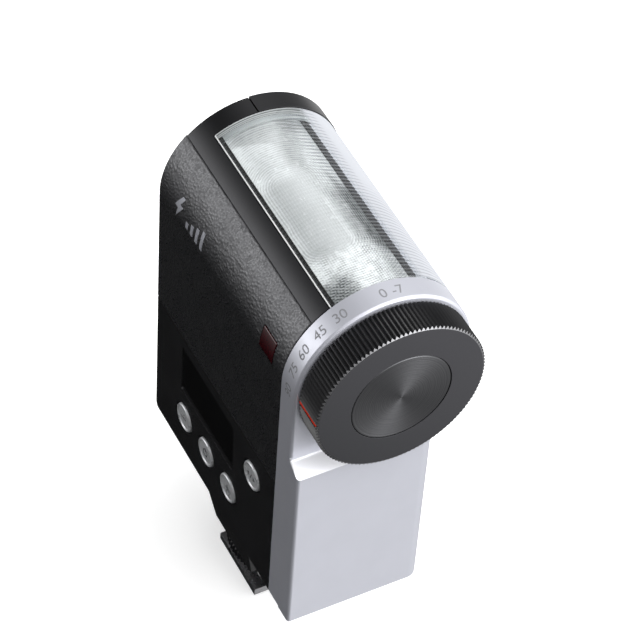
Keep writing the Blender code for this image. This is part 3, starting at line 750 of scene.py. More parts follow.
# key: name, colour, roughness, metallic, grain scale, grain strength, colour drift, gloss drift
SIMPLE = {
    "print": ("grey_print", (0.23, 0.233, 0.25), 0.5, 0.0, 5000.0, 0.05, 0.05, 0.06),
    "knob": ("knob_black_metal", (0.013, 0.013, 0.0145), 0.34, 0.0, 9000.0, 0.06, 0.10, 0.04),
    "tooth_edge": ("cut_edge", (0.26, 0.26, 0.27), 0.31, 0.85, 9000.0, 0.05, 0.04, 0.06),
    "red": ("index_enamel", (0.78, 0.045, 0.018), 0.38, 0.0, 5000.0, 0.05, 0.05, 0.06),
    "button": ("button_silver", (0.70, 0.71, 0.73), 0.30, 0.45, 6500.0, 0.06, 0.02, 0.06),
    "icon": ("icon_print", (0.075, 0.077, 0.085), 0.5, 0.0, 5000.0, 0.05, 0.05, 0.06),
    "steel": ("steel", (0.52, 0.52, 0.53), 0.26, 1.0, 3000.0, 0.08, 0.04, 0.06),
    "foot": ("foot_steel", (0.46, 0.46, 0.475), 0.30, 1.0, 4200.0, 0.10, 0.05, 0.06),
    "brass": ("gold_plate", (0.83, 0.58, 0.22), 0.22, 1.0, 3500.0, 0.05, 0.04, 0.06),
    # seal: painted shade, the grey of the strip that stands for the shaded gap by the window's
    # front edge
    "seal": ("gap_shade_grey", (0.095, 0.099, 0.104), 0.42, 0.0, 3000.0, 0.1, 0.08, 0.06),
    "trim": ("trim_pale", (0.42, 0.445, 0.45), 0.42, 0.0, 1500.0, 0.08, 0.05, 0.06),
    "white": ("drum_white", (0.50, 0.515, 0.550), 0.40, 0.0, 3000.0, 0.06, 0.02, 0.06),
    "silicone": ("silicone", (0.55, 0.54, 0.52), 0.60, 0.0, 1800.0, 0.10, 0.04, 0.06),
    "dark": ("component_dark", (0.020, 0.020, 0.022), 0.45, 0.0, 2500.0, 0.12, 0.1, 0.06),
    "cover_rim": ("cover_rim", (0.86, 0.88, 0.88), 0.22, 0.0, 1500.0, 0.08, 0.03, 0.06),
    "flex": ("flex_cable", (0.46, 0.24, 0.06), 0.30, 0.1, 1800.0, 0.08, 0.08, 0.06),
}
EXTRA = {
    "silicone": {"Subsurface_Weight": 0.1},
    "cover_rim": {"Coat_Weight": 0.6, "Coat_Roughness": 0.08},
}
for key, row in SIMPLE.items():
    MATERIALS[key] = simple(*row, **EXTRA.get(key, {}))


def set_materials(obj, *keys):
    obj.data.materials.clear()
    for key in keys:
        obj.data.materials.append(MATERIALS[key])


def finish(obj, body, material, node=None, angle=32, extra=(), indices=None):
    set_materials(obj, material, *extra)
    smooth(obj, angle)
    if len(obj.data.polygons) < 30000:
        mod = obj.modifiers.new("normals", "WEIGHTED_NORMAL")     # keeps large flat faces flat
        mod.weight, mod.keep_sharp = 50, True
    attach(obj, body)
    if node:
        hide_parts(node)
    if indices:
        obj.data.polygons.foreach_set("material_index", indices)


# ---- leatherette with a real grain ---------------------------------------------------
TABLE = np.random.RandomState(7).rand(256, 256, 2)


def ease(x, low=0, high=1):
    t = np.clip((x - low) / (high - low), 0, 1)
    return t ** 2 * (3 - 2 * t)


def worley(u, v, size):
    """Distances to the nearest and second nearest of jittered points."""
    p = np.stack([u / size, v / size], -1)
    base = np.floor(p).astype(int)
    best = np.full(p.shape[0], 9.0)
    second = np.full(p.shape[0], 9.0)
    for i in (-1, 0, 1):
        for j in (-1, 0, 1):
            cell = base + (i, j)
            point = cell + TABLE[cell[:, 0] % 256, cell[:, 1] % 256]
            d = np.hypot(*(p - point).T)
            second = np.where(d < best, best, np.minimum(second, d))
            best = np.minimum(best, d)
    return best, second


def value_noise(u, v, size, shift):
    x, y = u / size + shift, v / size + shift
    i, j = np.floor(x).astype(int), np.floor(y).astype(int)
    fx, fy = ease(x - i), ease(y - j)
    t = TABLE[..., 0]
    a, b = t[i % 256, j % 256], t[(i + 1) % 256, j % 256]
    c, d = t[i % 256, (j + 1) % 256], t[(i + 1) % 256, (j + 1) % 256]
    return (a * (1 - fx) + b * fx) * (1 - fy) + (c * (1 - fx) + d * fx) * fy - 0.5


def grain(u, v, depth, size=0.72):
    """Pebbled grain: soft bumps parted by creases, not above the surface."""
    warped_u = u + 0.55 * value_noise(u, v, 1.7, 3.3) + 0.25 * value_noise(u, v, 0.6, 9.1)
    warped_v = v + 0.55 * value_noise(u, v, 1.7, 17.7) + 0.25 * value_noise(u, v, 0.6, 29.2)
    first, second = worley(warped_u, warped_v * 0.86, size)
    crease = ease(second - first, 0, 0.36)
    first, second = worley(warped_u + 40, warped_v + 40, size * 0.45)
    small = np.clip((second - first) / 0.5, 0, 1)
    h = 0.72 * crease + 0.20 * small + 0.25 * value_noise(u, v, 2.6, 5.0)
    return depth * (np.clip(h, 0, 1.05) - 1.05)


def pressed(height, from_edge, drop):
    """Grain that fades out within 0.45 of the edge, where the sheet rounds down by drop."""
    k = np.clip(from_edge / 0.45, 0, 1)
    return height * k - drop * (1 - np.sqrt(np.clip(1 - (1 - k) ** 2, 0, 1)))


def set_attribute(obj, name, values):
    attribute = obj.data.attributes.new(name, "FLOAT", "POINT")
    attribute.data.foreach_set("value", values.astype(np.float32))


def closed_sheet(name, top, low, attribute, values, low_value):
    """Sheet with a gridded top (rows, columns, 3) and a plain underside, given by the
    two ends of each row. The attribute holds values on top and low_value below."""
    nv, nu = top.shape[:2]
    verts = np.concatenate([top.reshape(-1, 3), np.array(low)])
    a = lambda i, j: i * nu + j
    b = lambda i, j: nv * nu + 2 * i + j
    faces = [[a(i, j), a(i, j + 1), a(i + 1, j + 1), a(i + 1, j)]
             for i in range(nv - 1) for j in range(nu - 1)]
    for i in range(nv - 1):
        faces.append([b(i, 0), b(i + 1, 0), b(i + 1, 1), b(i, 1)])
        faces.append([a(i, 0), a(i + 1, 0), b(i + 1, 0), b(i, 0)])
        faces.append([a(i, nu - 1), b(i, 1), b(i + 1, 1), a(i + 1, nu - 1)])
    faces.append([a(0, j) for j in range(nu)] + [b(0, 1), b(0, 0)])
    faces.append([a(nv - 1, j) for j in reversed(range(nu))] + [b(nv - 1, 0), b(nv - 1, 1)])
    obj = add(name, verts, faces)
    set_attribute(obj, attribute, np.append(values.ravel(), np.full(2 * nv, low_value)))
    return obj


def leather_sheet(name, us, vs, place, normal, thickness=0.4):
    """place(v) and normal(v) give the path's point and outward normal as (y, z) pairs;
    us run across it."""
    uu, vv = np.meshgrid(us, vs)
    h = grain(uu.ravel(), vv.ravel(), depth=0.14).reshape(uu.shape)
    edge = np.minimum(np.minimum(uu - us[0], us[-1] - uu), np.minimum(vv - vs[0], vs[-1] - vv))
    offset = pressed(h, edge, drop=0.16)
    p = np.array([place(v) for v in vs])
    q = np.array([normal(v) for v in vs])
    top = np.stack([uu, p[:, :1] + offset * q[:, :1], p[:, 1:] + offset * q[:, 1:]], -1)
    low = [(u, *(p[i] - thickness * q[i])) for i in range(len(vs)) for u in (us[0], us[-1])]
    return closed_sheet(name, top, low, "grain", h, 0.0)


def grid(a, b, step):
    return np.linspace(a, b, max(2, int(round((b - a) / step)) + 1))


GRAIN_STEP = 0.24
# the rear sheet climbs straight, then bends round the barrel
STRAIGHT = AXIS_Z - LEATHER_Z
BEND = math.radians(90 - 44.3) * BARREL_R


def rear_place(v):
    if v <= STRAIGHT:
        return (REAR_Y, LEATHER_Z + v)
    t = math.radians(90) - (v - STRAIGHT) / BARREL_R
    return (AXIS_Y - BARREL_R * math.sin(t), AXIS_Z + BARREL_R * math.cos(t))


def rear_normal(v):
    if v <= STRAIGHT:
        return (-1.0, 0.0)
    t = math.radians(90) - (v - STRAIGHT) / BARREL_R
    return (-math.sin(t), math.cos(t))


rear_leather = leather_sheet("leatherette_rear",
                             grid(LEATHER_LOW[0] + 0.02, LEATHER_HIGH[0] - 0.02, GRAIN_STEP),
                             grid(0, STRAIGHT + BEND, GRAIN_STEP), rear_place, rear_normal)
cut(rear_leather, prism("cutter", sector(71.4, 88.6, 17, 23),
                        SENSOR_LOW[0] - 0.22, SENSOR_HIGH[0] + 0.22))
finish(rear_leather, "case", "leather", "rear_leather", angle=60)


def level_mark():
    """Bolt and rising level bars, printed on the leatherette."""
    bolt = [(0.5, 3.1), (-1.7, -0.5), (-0.25, -0.5), (-0.75, -3.1), (1.75, 0.75), (0.35, 0.75),
            (1.6, 3.1)]
    shapes = [[(u - 6.6, v) for u, v in bolt]]
    bar_foot, bar_width = -2.45, 1.1
    for k, tall in enumerate((1.6, 2.7, 3.8, 4.9)):
        left = -2.6 + 2.3 * k
        right = left + bar_width
        shapes.append([(left, bar_foot), (right, bar_foot), (right, bar_foot + tall),
                       (left, bar_foot + tall)])
    middle_x, middle_v = -19.2, STRAIGHT + math.radians(90 - 79) * BARREL_R
    parts = []
    for shape in shapes:
        flat = prism("flat", shape, 0, 1, "Z")
        slice_up(flat, (1, np.arange(-3.0, 3.2, 0.5)))      # lets it bend with the barrel
        verts, faces = taken(flat)
        wrapped = []
        for u, v, w in verts / MM:
            y, z = rear_place(middle_v + v)
            ny, nz = rear_normal(middle_v + v)
            lift = 0.015 if w > 0.5 else -0.25
            wrapped.append((middle_x + u, y + ny * lift, z + nz * lift))
        parts.append((np.array(wrapped), faces))
    return add("level_mark", *merge(parts))


finish(level_mark(), "case", "silver")

front_leather = leather_sheet(
    "leatherette_front",
    grid(FRONT_LEATHER_LOW[0], FRONT_LEATHER_HIGH[0], GRAIN_STEP * 1.3),
    grid(FRONT_LEATHER_LOW[2], FRONT_LEATHER_HIGH[2], GRAIN_STEP * 1.3),
    lambda v: (FRONT_Y + 0.08, v), lambda v: (1.0, 0.0))
finish(front_leather, "case", "leather", "front_leather", angle=60)


def side_sheet():
    """Leatherette on the plain end: a round-topped panel, its grain raised along X."""
    low, high = box("side_leather")
    outline = [p for p in side_outline(WALL) if p[1] > LEATHER_Z]
    outline += [(FRONT_Y - WALL, LEATHER_Z), (REAR_Y + WALL, LEATHER_Z)]
    step = GRAIN_STEP * 1.5
    obj = prism("leatherette_side", outline, low[0], high[0])
    # slice the faces into a grid, then press the grain into the outer one
    slice_up(obj, (1, grid(REAR_Y + WALL, AXIS_Y + BARREL_R, step)[1:-1]),
             (2, grid(LEATHER_Z, AXIS_Z + BARREL_R, step)[1:-1]))
    co = np.zeros(len(obj.data.vertices) * 3)
    obj.data.vertices.foreach_get("co", co)
    co = co.reshape(-1, 3) / MM
    outer = co[:, 0] < low[0] + 0.02
    q = co[:, 1:]
    from_edge = np.full(len(q), 99.0)
    points = np.array(outline)
    for a, b in zip(points, np.roll(points, -1, 0)):
        d = b - a
        t = np.clip(((q - a) @ d) / (d @ d + 1e-12), 0, 1)
        from_edge = np.minimum(from_edge, np.linalg.norm(q - a - t[:, None] * d, axis=1))
    h = grain(co[:, 1] + 70, co[:, 2], depth=0.15)
    co[:, 0] -= pressed(h, from_edge, drop=0.14) * outer
    obj.data.vertices.foreach_set("co", (co * MM).ravel())
    set_attribute(obj, "grain", h * outer)
    return obj


finish(side_sheet(), "case", "leather", "side_leather", angle=60)


# ---- rear shell ----------------------------------------------------------------------
def door_hole():
    return block("cutter", (END_X - 1, -32.5), (DOOR_LOW[1] - DOOR_GAP, DOOR_HIGH[1] + DOOR_GAP),
                 (PIN_AT[1] - 1.3, DOOR_HIGH[2] + DOOR_GAP))


def end_corner():
    """Rounds the lower corner at the plain end of the case."""
    r = 2.2
    x, z = END_X + r, BASE_Z + r
    return prism("cutter", [(END_X - 1, BASE_Z - 1), (x, BASE_Z - 1)]
                 + fillet(x, z, r, 270, 180, 10) + [(END_X - 1, z)], -40, 40, "Y")


def cover_opening(start, stop):
    return prism("cutter", sector(start, stop, 15, 25), COVER_LOW[0] - 0.06, SHELL_X + 2)


rear = prism("case_rear", rear_outline(), END_X, SHELL_X)
cut(rear, prism("cutter", rear_outline(WALL, AXIS_Y + 2), END_X + WALL, SHELL_X + 2))
leather_recess = ([(REAR_Y - 2, LEATHER_Z - 0.08), (REAR_Y - 2, AXIS_Z)]
                  + arc(90, 43.95, BARREL_R + 2) + arc(43.95, 90, BARREL_R - 0.6)
                  + [(REAR_Y + 0.6, LEATHER_Z - 0.08)])
screen_recess = rounded((SCREEN_LOW[0] - 0.1, SCREEN_HIGH[0] + 0.1),
                        (SCREEN_LOW[2] - 0.1, SCREEN_HIGH[2] + 0.1), 0.5)
cut(rear, cover_opening(COVER_REAR + 0.45, -20), door_hole(), end_corner(),
    prism("cutter", leather_recess, END_X - 2, SHELL_X + 2),
    prism("cutter", screen_recess, REAR_Y - 2, REAR_Y + 1.3, "Y"),
    prism("cutter", sector(71.3, 88.7, 17, 23), SENSOR_LOW[0] - 0.2, SENSOR_HIGH[0] + 0.2))
for at in BUTTONS.values():
    cut(rear, rod("cutter", REAR_Y - 2, REAR_Y + 4, BUTTON_HOLE_R, "Y", at, 72))
tidy(rear)
bevel(rear, 0.12)
finish(rear, "case", "black", "rear_shell")

# black ledge under the cover's rear edge, painted shade standing for the shadow line there, and
# trim under its plain end
UNDER_COVER = (BARREL_R - 2.15, BARREL_R - 1.80)
shadow_ledge = prism("cover_shadow_ledge", sector(30.9, 27.2, *UNDER_COVER, 0.5),
              COVER_LOW[0] + 0.75, COVER_HIGH[0] - 0.1)
finish(shadow_ledge, "case", "black")
trim = prism("cover_trim", sector(27.0, COVER_FRONT + 1, *UNDER_COVER, 1.5),
             COVER_LOW[0] + 0.02, COVER_LOW[0] + 1.45)
finish(trim, "case", "trim")

# ---- front shell ---------------------------------------------------------------------
front = prism("case_front", front_outline(), END_X, SHELL_X)
cut(front, prism("cutter", front_outline(WALL, AXIS_Y - 2), END_X + WALL, SHELL_X + 2))
front_recess = rounded((FRONT_LEATHER_LOW[0] - 0.12, FRONT_LEATHER_HIGH[0] + 0.12),
                       (FRONT_LEATHER_LOW[2] - 0.12, FRONT_LEATHER_HIGH[2] + 0.12), 0.3)
cut(front, cover_opening(20, COVER_FRONT - 0.6), door_hole(), end_corner(),
    prism("cutter", front_recess, FRONT_Y - 0.5, FRONT_Y + 2, "Y"))
tidy(front)
bevel(front, 0.12)
finish(front, "case", "front_black", "front_shell")

# ---- silver side panel: a ring round the barrel over a bulge with a sloping top ------
SLOPE_TOP, SLOPE_FOOT = 75.7, 73.1
side = prism("panel_silver", side_outline(), RING_X, WALL_X)
bulge = prism("bulge", fillet(SIDE_X - 0.8, REAR_Y + 0.8, 0.8, -90, 0, 5)
              + fillet(SIDE_X - 3.0, FRONT_Y - 3.0, 3.0, 0, 90, 8)
              + [(WALL_X - 1, FRONT_Y), (WALL_X - 1, REAR_Y)], BASE_Z, SLOPE_TOP, "Z")
cut(bulge, prism("cutter", [(WALL_X, SLOPE_TOP), (SIDE_X, SLOPE_FOOT), (SIDE_X + 2, SLOPE_FOOT),
                            (SIDE_X + 2, 80), (WALL_X, 80)], -40, 40, "Y"))
fuse(side, bulge)
cut(side, prism("cutter", side_outline(WALL), RING_X - 2, WALL_X - WALL),
    prism("cutter", rounded((REAR_Y + WALL, FRONT_Y - WALL), (BASE_Z + WALL, 70.5), 1.0),
          RING_X - 2, SIDE_X - WALL),
    rod("cutter", 20, 40, 6.2))
# cutter section for the outer edge next to the knob: x from WALL_X, depth from the outside
EDGE_ROUNDING = [(-0.78, -0.03), (-0.50, 0.05), (-0.25, 0.21), (-0.07, 0.46), (0.01, 0.78),
                 (0.5, 0.78), (0.5, -1.2), (-0.78, -1.2)]
ring_edge = turned("ring_edge", [(WALL_X + x, BARREL_R - deep) for x, deep in EDGE_ROUNDING],
                   seg=288)
cut(ring_edge, block("cutter", (20, 40), (-40, 40), (60, AXIS_Z)))
rear_edge = prism("rear_edge", [(WALL_X + x, REAR_Y + deep) for x, deep in EDGE_ROUNDING],
                  76.3, AXIS_Z + 0.01, "Z")
cut(side, ring_edge)
cut(side, rear_edge)
tidy(side)
bevel(side, 0.24, 28, 4)
finish(side, "case", "silver", "side_panel", angle=30)


# ---- printed scale: numbers of a dial, wrapped on the ring ---------------------------
def glyphs(text, size):
    curve = bpy.data.curves.new("text", "FONT")
    curve.body, curve.size = text, size
    curve.align_x = curve.align_y = "CENTER"
    curve.extrude, curve.resolution_u = 0.5, 6
    return taken(link("text", curve))


NUMERALS_X = RING_X + 3.05
# numeral, angle in degrees
NUMERALS = (("90", 88.4), ("75", 72.6), ("60", 58.6), ("45", 43.3), ("30", 28.3), ("0", 0.4),
            ("-7", -8.8))
parts = []
for text, angle in NUMERALS:
    v, f = glyphs(text, 3.4)
    t = math.radians(angle) - v[:, 0] / BARREL_R
    r = BARREL_R + np.where(v[:, 2] > 0, 0.018, -0.03)
    wrapped = np.stack([NUMERALS_X - v[:, 1], AXIS_Y - r * np.sin(t), AXIS_Z + r * np.cos(t)], -1)
    parts.append((wrapped, f))
scale = add("scale_numerals", *merge(parts), fix=False)
finish(tidy(scale, 0.0005), "case", "print")


# ---- lens cover ----------------------------------------------------------------------
def cover_mesh():
    """Returns the cover and its faces' materials: 0 clear, 1 rim, 2 black, 3 plain end."""
    x0, x1 = COVER_LOW[0], COVER_HIGH[0]
    outer, inner = BARREL_R, BARREL_R - 1.72
    section = [(x0, outer - 0.22), (x0 + 0.07, outer - 0.07), (x0 + 0.22, outer),
               (x1 - 0.22, outer), (x1 - 0.07, outer - 0.07), (x1, outer - 0.22), (x1, inner),
               (RIB_START + RIB_COUNT * PITCH, inner)]
    ribs = []
    per_rib = 6
    for i in range(RIB_COUNT * per_rib):
        s = (i + 0.5) / per_rib
        height = 0.055 * (0.5 - 0.5 * math.cos(2 * math.pi * s))
        ribs.append((RIB_START + s * PITCH, inner + height))
    first_rib = len(section)
    section += ribs[::-1] + [(RIB_START, inner), (x0, inner)]
    angles = np.concatenate([[COVER_REAR, COVER_REAR - 0.35, COVER_REAR - 1.0],
                             np.arange(COVER_REAR - 3.0, COVER_FRONT + 3, -2.0),
                             [COVER_FRONT + 1.6, COVER_FRONT + 0.5, COVER_FRONT]])
    verts, n = [], len(section)
    for a in angles:
        # the ribs run out and the outer face rounds off near both edges
        k = min(1.0, max(0.0, min(COVER_REAR - 2.0 - a, a - COVER_FRONT - 1.0) / 0.8))
        end = min(COVER_REAR - a, a - COVER_FRONT)
        drop = 0.20 * max(0.0, 1 - end / 0.9) ** 2
        for j, (x, r) in enumerate(section):
            if first_rib <= j < first_rib + len(ribs):
                r = inner + (r - inner) * k
            if r > inner + 1:
                r -= drop
            verts.append((x, *polar(a, r)))
    looks = []
    for i in range(len(angles) - 1):
        for j in range(n):
            rim = j in (0, 1) or (i < 2 and section[j][1] > inner + 1)
            looks.append(3 if j == n - 1 else 1 if rim else 0)
    faces = bands(len(angles), n, closed=False)
    faces.append(list(range(n)))
    faces.append(list(range(len(angles) * n - 1, (len(angles) - 1) * n - 1, -1)))
    return add("cover_ribbed", verts, faces), looks + [2, 1]


cover, cover_looks = cover_mesh()
finish(cover, "case", "cover", "lens_cover", angle=50, extra=("cover_rim", "black", "cover_end"),
       indices=cover_looks)

# ---- head: drum, reflector, window, seals, tube --------------------------------------
drum = turned("drum_white", [
    (DRUM_LOW[0], 2.0), (DRUM_LOW[0], 4.0), (DRUM_X0, 4.0), (DRUM_X0, DRUM_R - 0.3),
    (DRUM_X0 + 0.3, DRUM_R), (DRUM_X1 - 0.3, DRUM_R), (DRUM_X1, DRUM_R - 0.3), (DRUM_X1, 4.15),
    (DRUM_X1 - 1.5, 4.15), (DRUM_X1 - 1.5, 17.2), (DRUM_X0 + 1.5, 17.2), (DRUM_X0 + 1.5, 2.0)],
    seg=144)
cut(drum, prism("cutter", sector(38, -38, 10, 22), -26.4, 22.2))
tidy(drum)
bevel(drum, 0.15)
finish(drum, "head", "white", "head_drum")


def trough(inset, n=28, top_add=0.0):
    """Reflector section: flaring walls on a round bowl, raised by top_add."""
    lip_angle, lip_r = math.radians(34.0), 17.8
    base, lip = 3.6 - inset, lip_r * math.sin(lip_angle) - inset
    top = lip_r * math.cos(lip_angle)
    wall = [(base + (lip - base) * (i / n) ** 0.8, top * i / n) for i in range(n + 1)]
    front_wall = [(AXIS_Y + y, AXIS_Z + z) for y, z in reversed(wall)]
    rear_wall = [(AXIS_Y - y, AXIS_Z + z) for y, z in wall]
    turns = [math.radians(-7.5 * i) for i in range(1, 24)]
    bowl = [(AXIS_Y + base * math.cos(t), AXIS_Z + base * math.sin(t)) for t in turns]
    if top_add:
        front_wall = [(front_wall[0][0], front_wall[0][1] + top_add)] + front_wall
        rear_wall = rear_wall + [(rear_wall[-1][0], rear_wall[-1][1] + top_add)]
    return front_wall + bowl + rear_wall


REFLECTOR_LOW, REFLECTOR_HIGH = box("reflector")
SKIN = 0.45
reflector = prism("reflector_bowl", trough(0.0), REFLECTOR_LOW[0], REFLECTOR_HIGH[0])
cut(reflector, prism("cutter", trough(SKIN, top_add=2.0), REFLECTOR_LOW[0] + SKIN,
                     REFLECTOR_HIGH[0] - SKIN),
    rod("cutter", -27, 23, 2.3, seg=48))
tidy(reflector)
bevel(reflector, 0.1)
finish(reflector, "head", "mirror", "reflector")


def window_sheet():
    """Prismatic window over the reflector, grooved round its plain middle."""
    us = grid(DRUM_X0 + 0.05, DRUM_X1 - 0.25, 0.13)
    ts = np.linspace(-30.1, 37.0, 170)
    uu, tt = np.meshgrid(us, ts)            # x, and degrees from +Z to the rear
    v = np.radians(tt) * DRUM_R

    def noise(size, shift):
        return value_noise(uu.ravel(), v.ravel(), size, shift).reshape(uu.shape)

    def wave(along, pitch):
        return 0.5 - 0.5 * np.cos(2 * math.pi * along / pitch)

    def until(x, low, high):
        return 1 - ease(x, low, high)

    wobble = 0.30 * noise(4.0, 2.0) + 0.10 * noise(1.3, 4.0)
    speck = 0.5 + noise(0.8, 11.0)
    # distance out from the plain middle: a rounded oblong
    away = np.hypot(np.clip(np.abs(uu + 1.0) - 9.0, 0, 99),
                    np.clip(np.abs(v - 2.2) - 1.6, 0, 99))
    # areas of the pattern, 0 to 1
    out = ease(away, 0.2, 5.0)
    ribs = ease(-tt, 9, 15) * until(uu, -8, -3)                     # front, plain end
    lines = ease(-tt, 7, 10) * ease(uu, -8, -3)                     # front, knob side
    near = ease(uu, 9.5, 14.0) * ease(tt, -24, -16)                 # knob side
    corner = ease(uu, 15.5, 21.0) * ease(tt, 3.0, 15.0)             # rear corner, knob side
    # waves of the grooves, 1 at their deepest
    x_fine = wave(uu + wobble, 0.60)
    v_fine = wave(v + wobble, 0.58)
    oblong = wave(away + wobble, 0.62)
    rib_wave = wave(uu + 0.05 * tt, PITCH)
    corner_wave = wave(uu + 0.7 * v, 0.9)
    groove = (0.006 * wave(uu + wobble, 0.55) + (0.010 + 0.040 * out) * oblong
              + 0.035 * ribs * rib_wave + 0.030 * (lines + near) * v_fine
              + 0.030 * near * x_fine + 0.05 * corner * corner_wave)
    groove = np.minimum(groove, 0.10)

    shade = 0.84 + 0.10 * noise(5.5, 7.0)
    # painted highlights: lighter patches on the knob side, a band along the middle, plain end,
    # ribs, rear
    shade += 0.42 * near * (1 - corner)
    shade += (0.14 * ease(tt, -12, -9) * until(tt, -7.5, -5.5)
              * ease(uu, -6, -2) * until(uu, 10, 13))
    shade += 0.22 * ease(uu + 0.15 * tt, -22.5, -21.2) * until(uu, -14, -9) * ease(tt, -6, 6)
    shade += 0.20 * ribs * ease(uu, -26, -22)
    shade += 0.26 * ease(tt, 17, 27) * (1 - corner)
    # painted shade: darker patches, two along the front, two at the plain end, and the rear corner
    shade -= 0.16 * ease(uu, -8, -3) * until(uu, 12, 16) * ease(-tt, 11, 16)
    shade -= (0.34 * ease(uu + 0.55 * (tt + 29), -9, -4)
              * until(uu + 0.4 * (tt + 25), 11, 15) * ease(-tt, 18.5, 23.5))
    shade -= (0.15 * ease(-(uu + 0.45 * tt), 14, 18)
              * until(np.abs(tt + 10 - 0.9 * (uu + 20)), 4, 9))
    shade -= 0.17 * until(uu, -27.2, -23.5) * (0.3 + 0.7 * wave(uu + 0.4 * wobble, 1.25))
    shade -= 0.62 * corner * corner_wave * (0.5 + 0.5 * wave(v - 0.5 * uu, 0.8))
    # thin dark lines on the ridges between the grooves
    shade -= (0.03 + 0.30 * out * (0.30 + speck)) * (1 - oblong) ** 2
    shade -= 0.09 * (1 - wave(v + 0.5 * wobble, 0.62)) * (1 - out)
    shade -= 0.30 * ribs * (1 - rib_wave) ** 2
    shade -= 0.24 * (lines + near) * (1 - v_fine) ** 2 * (0.3 + speck)
    shade -= 0.26 * near * (1 - x_fine) ** 2 * (0.3 + speck)

    radius, turn = DRUM_R + 0.115 - groove, np.radians(tt)
    top = np.stack([uu, AXIS_Y - radius * np.sin(turn), AXIS_Z + radius * np.cos(turn)], -1)
    low = [(u, *polar(t, DRUM_R + 0.01)) for t in ts for u in (us[0], us[-1])]
    return closed_sheet("window_prismatic", top, low, "tone_with_painted_light", np.clip(shade, 0.02, 1.30), 0.7)


finish(window_sheet(), "head", "window", angle=60)

# seal: a grey strip along the window's front edge, with slanted black tabs over it; painted shade,
# dark pieces standing for the shaded gap between the reflector's lip and the drum
seal = prism("window_gap_shade_front", sector(-30.6, -38.2, DRUM_R - 0.4, DRUM_R + 0.06, 0.5),
             DRUM_X0 + 0.05, DRUM_X1 - 1.7)
finish(seal, "head", "seal")
TAB_FACES = [[0, 1, 2, 3], [7, 6, 5, 4], [0, 4, 5, 1], [1, 5, 6, 2], [2, 6, 7, 3], [3, 7, 4, 0]]
tabs = []
x = DRUM_X0 + 0.65
while x < DRUM_X1 - 2.4:
    quad = [(x, -30.2), (x + 0.74, -30.2), (x + 0.20, -38.7), (x - 0.54, -38.7)]
    points = [(qx, *polar(angle, radius)) for radius in (DRUM_R + 0.04, DRUM_R + 0.12)
              for qx, angle in quad]
    tabs.append((np.array(points), TAB_FACES))
    x += PITCH
finish(add("window_gap_shade_tabs", *merge(tabs)), "head", "black")
seal = prism("window_seal_back", sector(40.6, 37.2, 17.5, DRUM_R + 0.12, 0.5),
             DRUM_X0 + 1.4, DRUM_X1 - 1.2)
bevel(seal, 0.05)
finish(seal, "head", "black")

TUBE_X0, TUBE_X1 = (corner[0] for corner in box("flash_tube"))
tube = turned("tube_body", [
    (TUBE_X0, 0), (TUBE_X0, 1.4), (TUBE_X0 + 0.5, 1.9), (TUBE_X0 + 0.9, 2.0),
    (TUBE_X1 - 0.9, 2.0), (TUBE_X1 - 0.5, 1.9), (TUBE_X1, 1.4), (TUBE_X1, 0)], seg=48)
finish(tube, "head", "tube", "flash_tube")

# ---- tilt knob -----------------------------------------------------------------------
KNOB_LOW, KNOB_HIGH = box("tilt_knob")
KNOB_R = (KNOB_HIGH[2] - KNOB_LOW[2]) / 2


def knob_mesh():
    """V-shaped teeth run out into a cut chamfer, which leaves a saw-tooth of bright metal
    at the face."""
    teeth, per_tooth = 120, 8
    seg = teeth * per_tooth
    x0, x1 = KNOB_LOW[0], KNOB_HIGH[0]
    root = KNOB_R - 0.65
    face_r, slope = KNOB_R - 0.62, 2.2

    def tooth(k):
        triangle = 1 - abs(2 * ((k % per_tooth) / per_tooth) - 1)
        return root + (KNOB_R - root) * min(1.0, max(0.0, 1.12 * triangle - 0.04))

    tooth_r = np.array([tooth(k) for k in range(seg)])
    teeth_x = WALL_X + 0.13
    chamfer_x = x1 - 0.03 - np.maximum(tooth_r - face_r, 0.01) / slope - 0.01
    # x, radius, material: 0 knob, 1 cut edge, 2 face
    rows = [
        (x0, root - 0.6, 0), (teeth_x, root - 0.6, 0), (teeth_x, root - 0.02, 0),
        (teeth_x + 0.10, np.minimum(tooth_r, root + 0.38), 0), (teeth_x + 0.26, tooth_r, 0),
        (chamfer_x, tooth_r, 1), (x1 - 0.03, face_r - 0.02, 2), (x1, face_r - 0.07, 2),
        # recess for the disc, then the hollow back
        (x1, 11.86, 2), (x1 - 0.05, 11.75, 2), (x1 - 0.95, 11.73, 2), (x1 - 0.95, 3.8, 2),
        (x1 - 2.95, 3.8, 2), (x1 - 2.95, 1.9, 2), (x1 - 4.15, 1.9, 2), (x1 - 4.15, 4.15, 2),
        (x0, 4.15, 2), (x0, 6.5, 2), (x1 - 3.55, 6.5, 2), (x1 - 3.55, 17.0, 2), (x0, 17.0, 2),
    ]
    obj = stacked("knob_knurled", [row[:2] for row in rows], seg, "X", (AXIS_Y, AXIS_Z), math.pi)
    set_materials(obj, "knob", "tooth_edge", "knob_face")
    looks = [look for _, _, look in rows for _ in range(seg)]
    obj.data.polygons.foreach_set("material_index", looks)
    return obj


INDEX_LOW, INDEX_HIGH = box("knob_index")
INDEX_Z = centre_of("knob_index")[2]
KNOB_REAR = AXIS_Y - KNOB_R
knob = knob_mesh()
cut(knob, block("cutter", (INDEX_LOW[0] - 0.85, INDEX_HIGH[0] + 0.62),
                (KNOB_REAR - 1, KNOB_REAR + 0.50), (INDEX_Z - 1.30, INDEX_Z + 0.50)))
finish(knob, "head", "knob", "tilt_knob", angle=34, extra=("tooth_edge", "knob_face"),
       indices=[p.material_index for p in knob.data.polygons])

index = block("index_line", (INDEX_LOW[0] - 0.70, INDEX_HIGH[0] + 0.55),
              (KNOB_REAR + 0.08, KNOB_REAR + 0.7), (INDEX_Z - 0.52, INDEX_Z + 0.52))
bevel(index, 0.07)
finish(index, "head", "red", "knob_index")

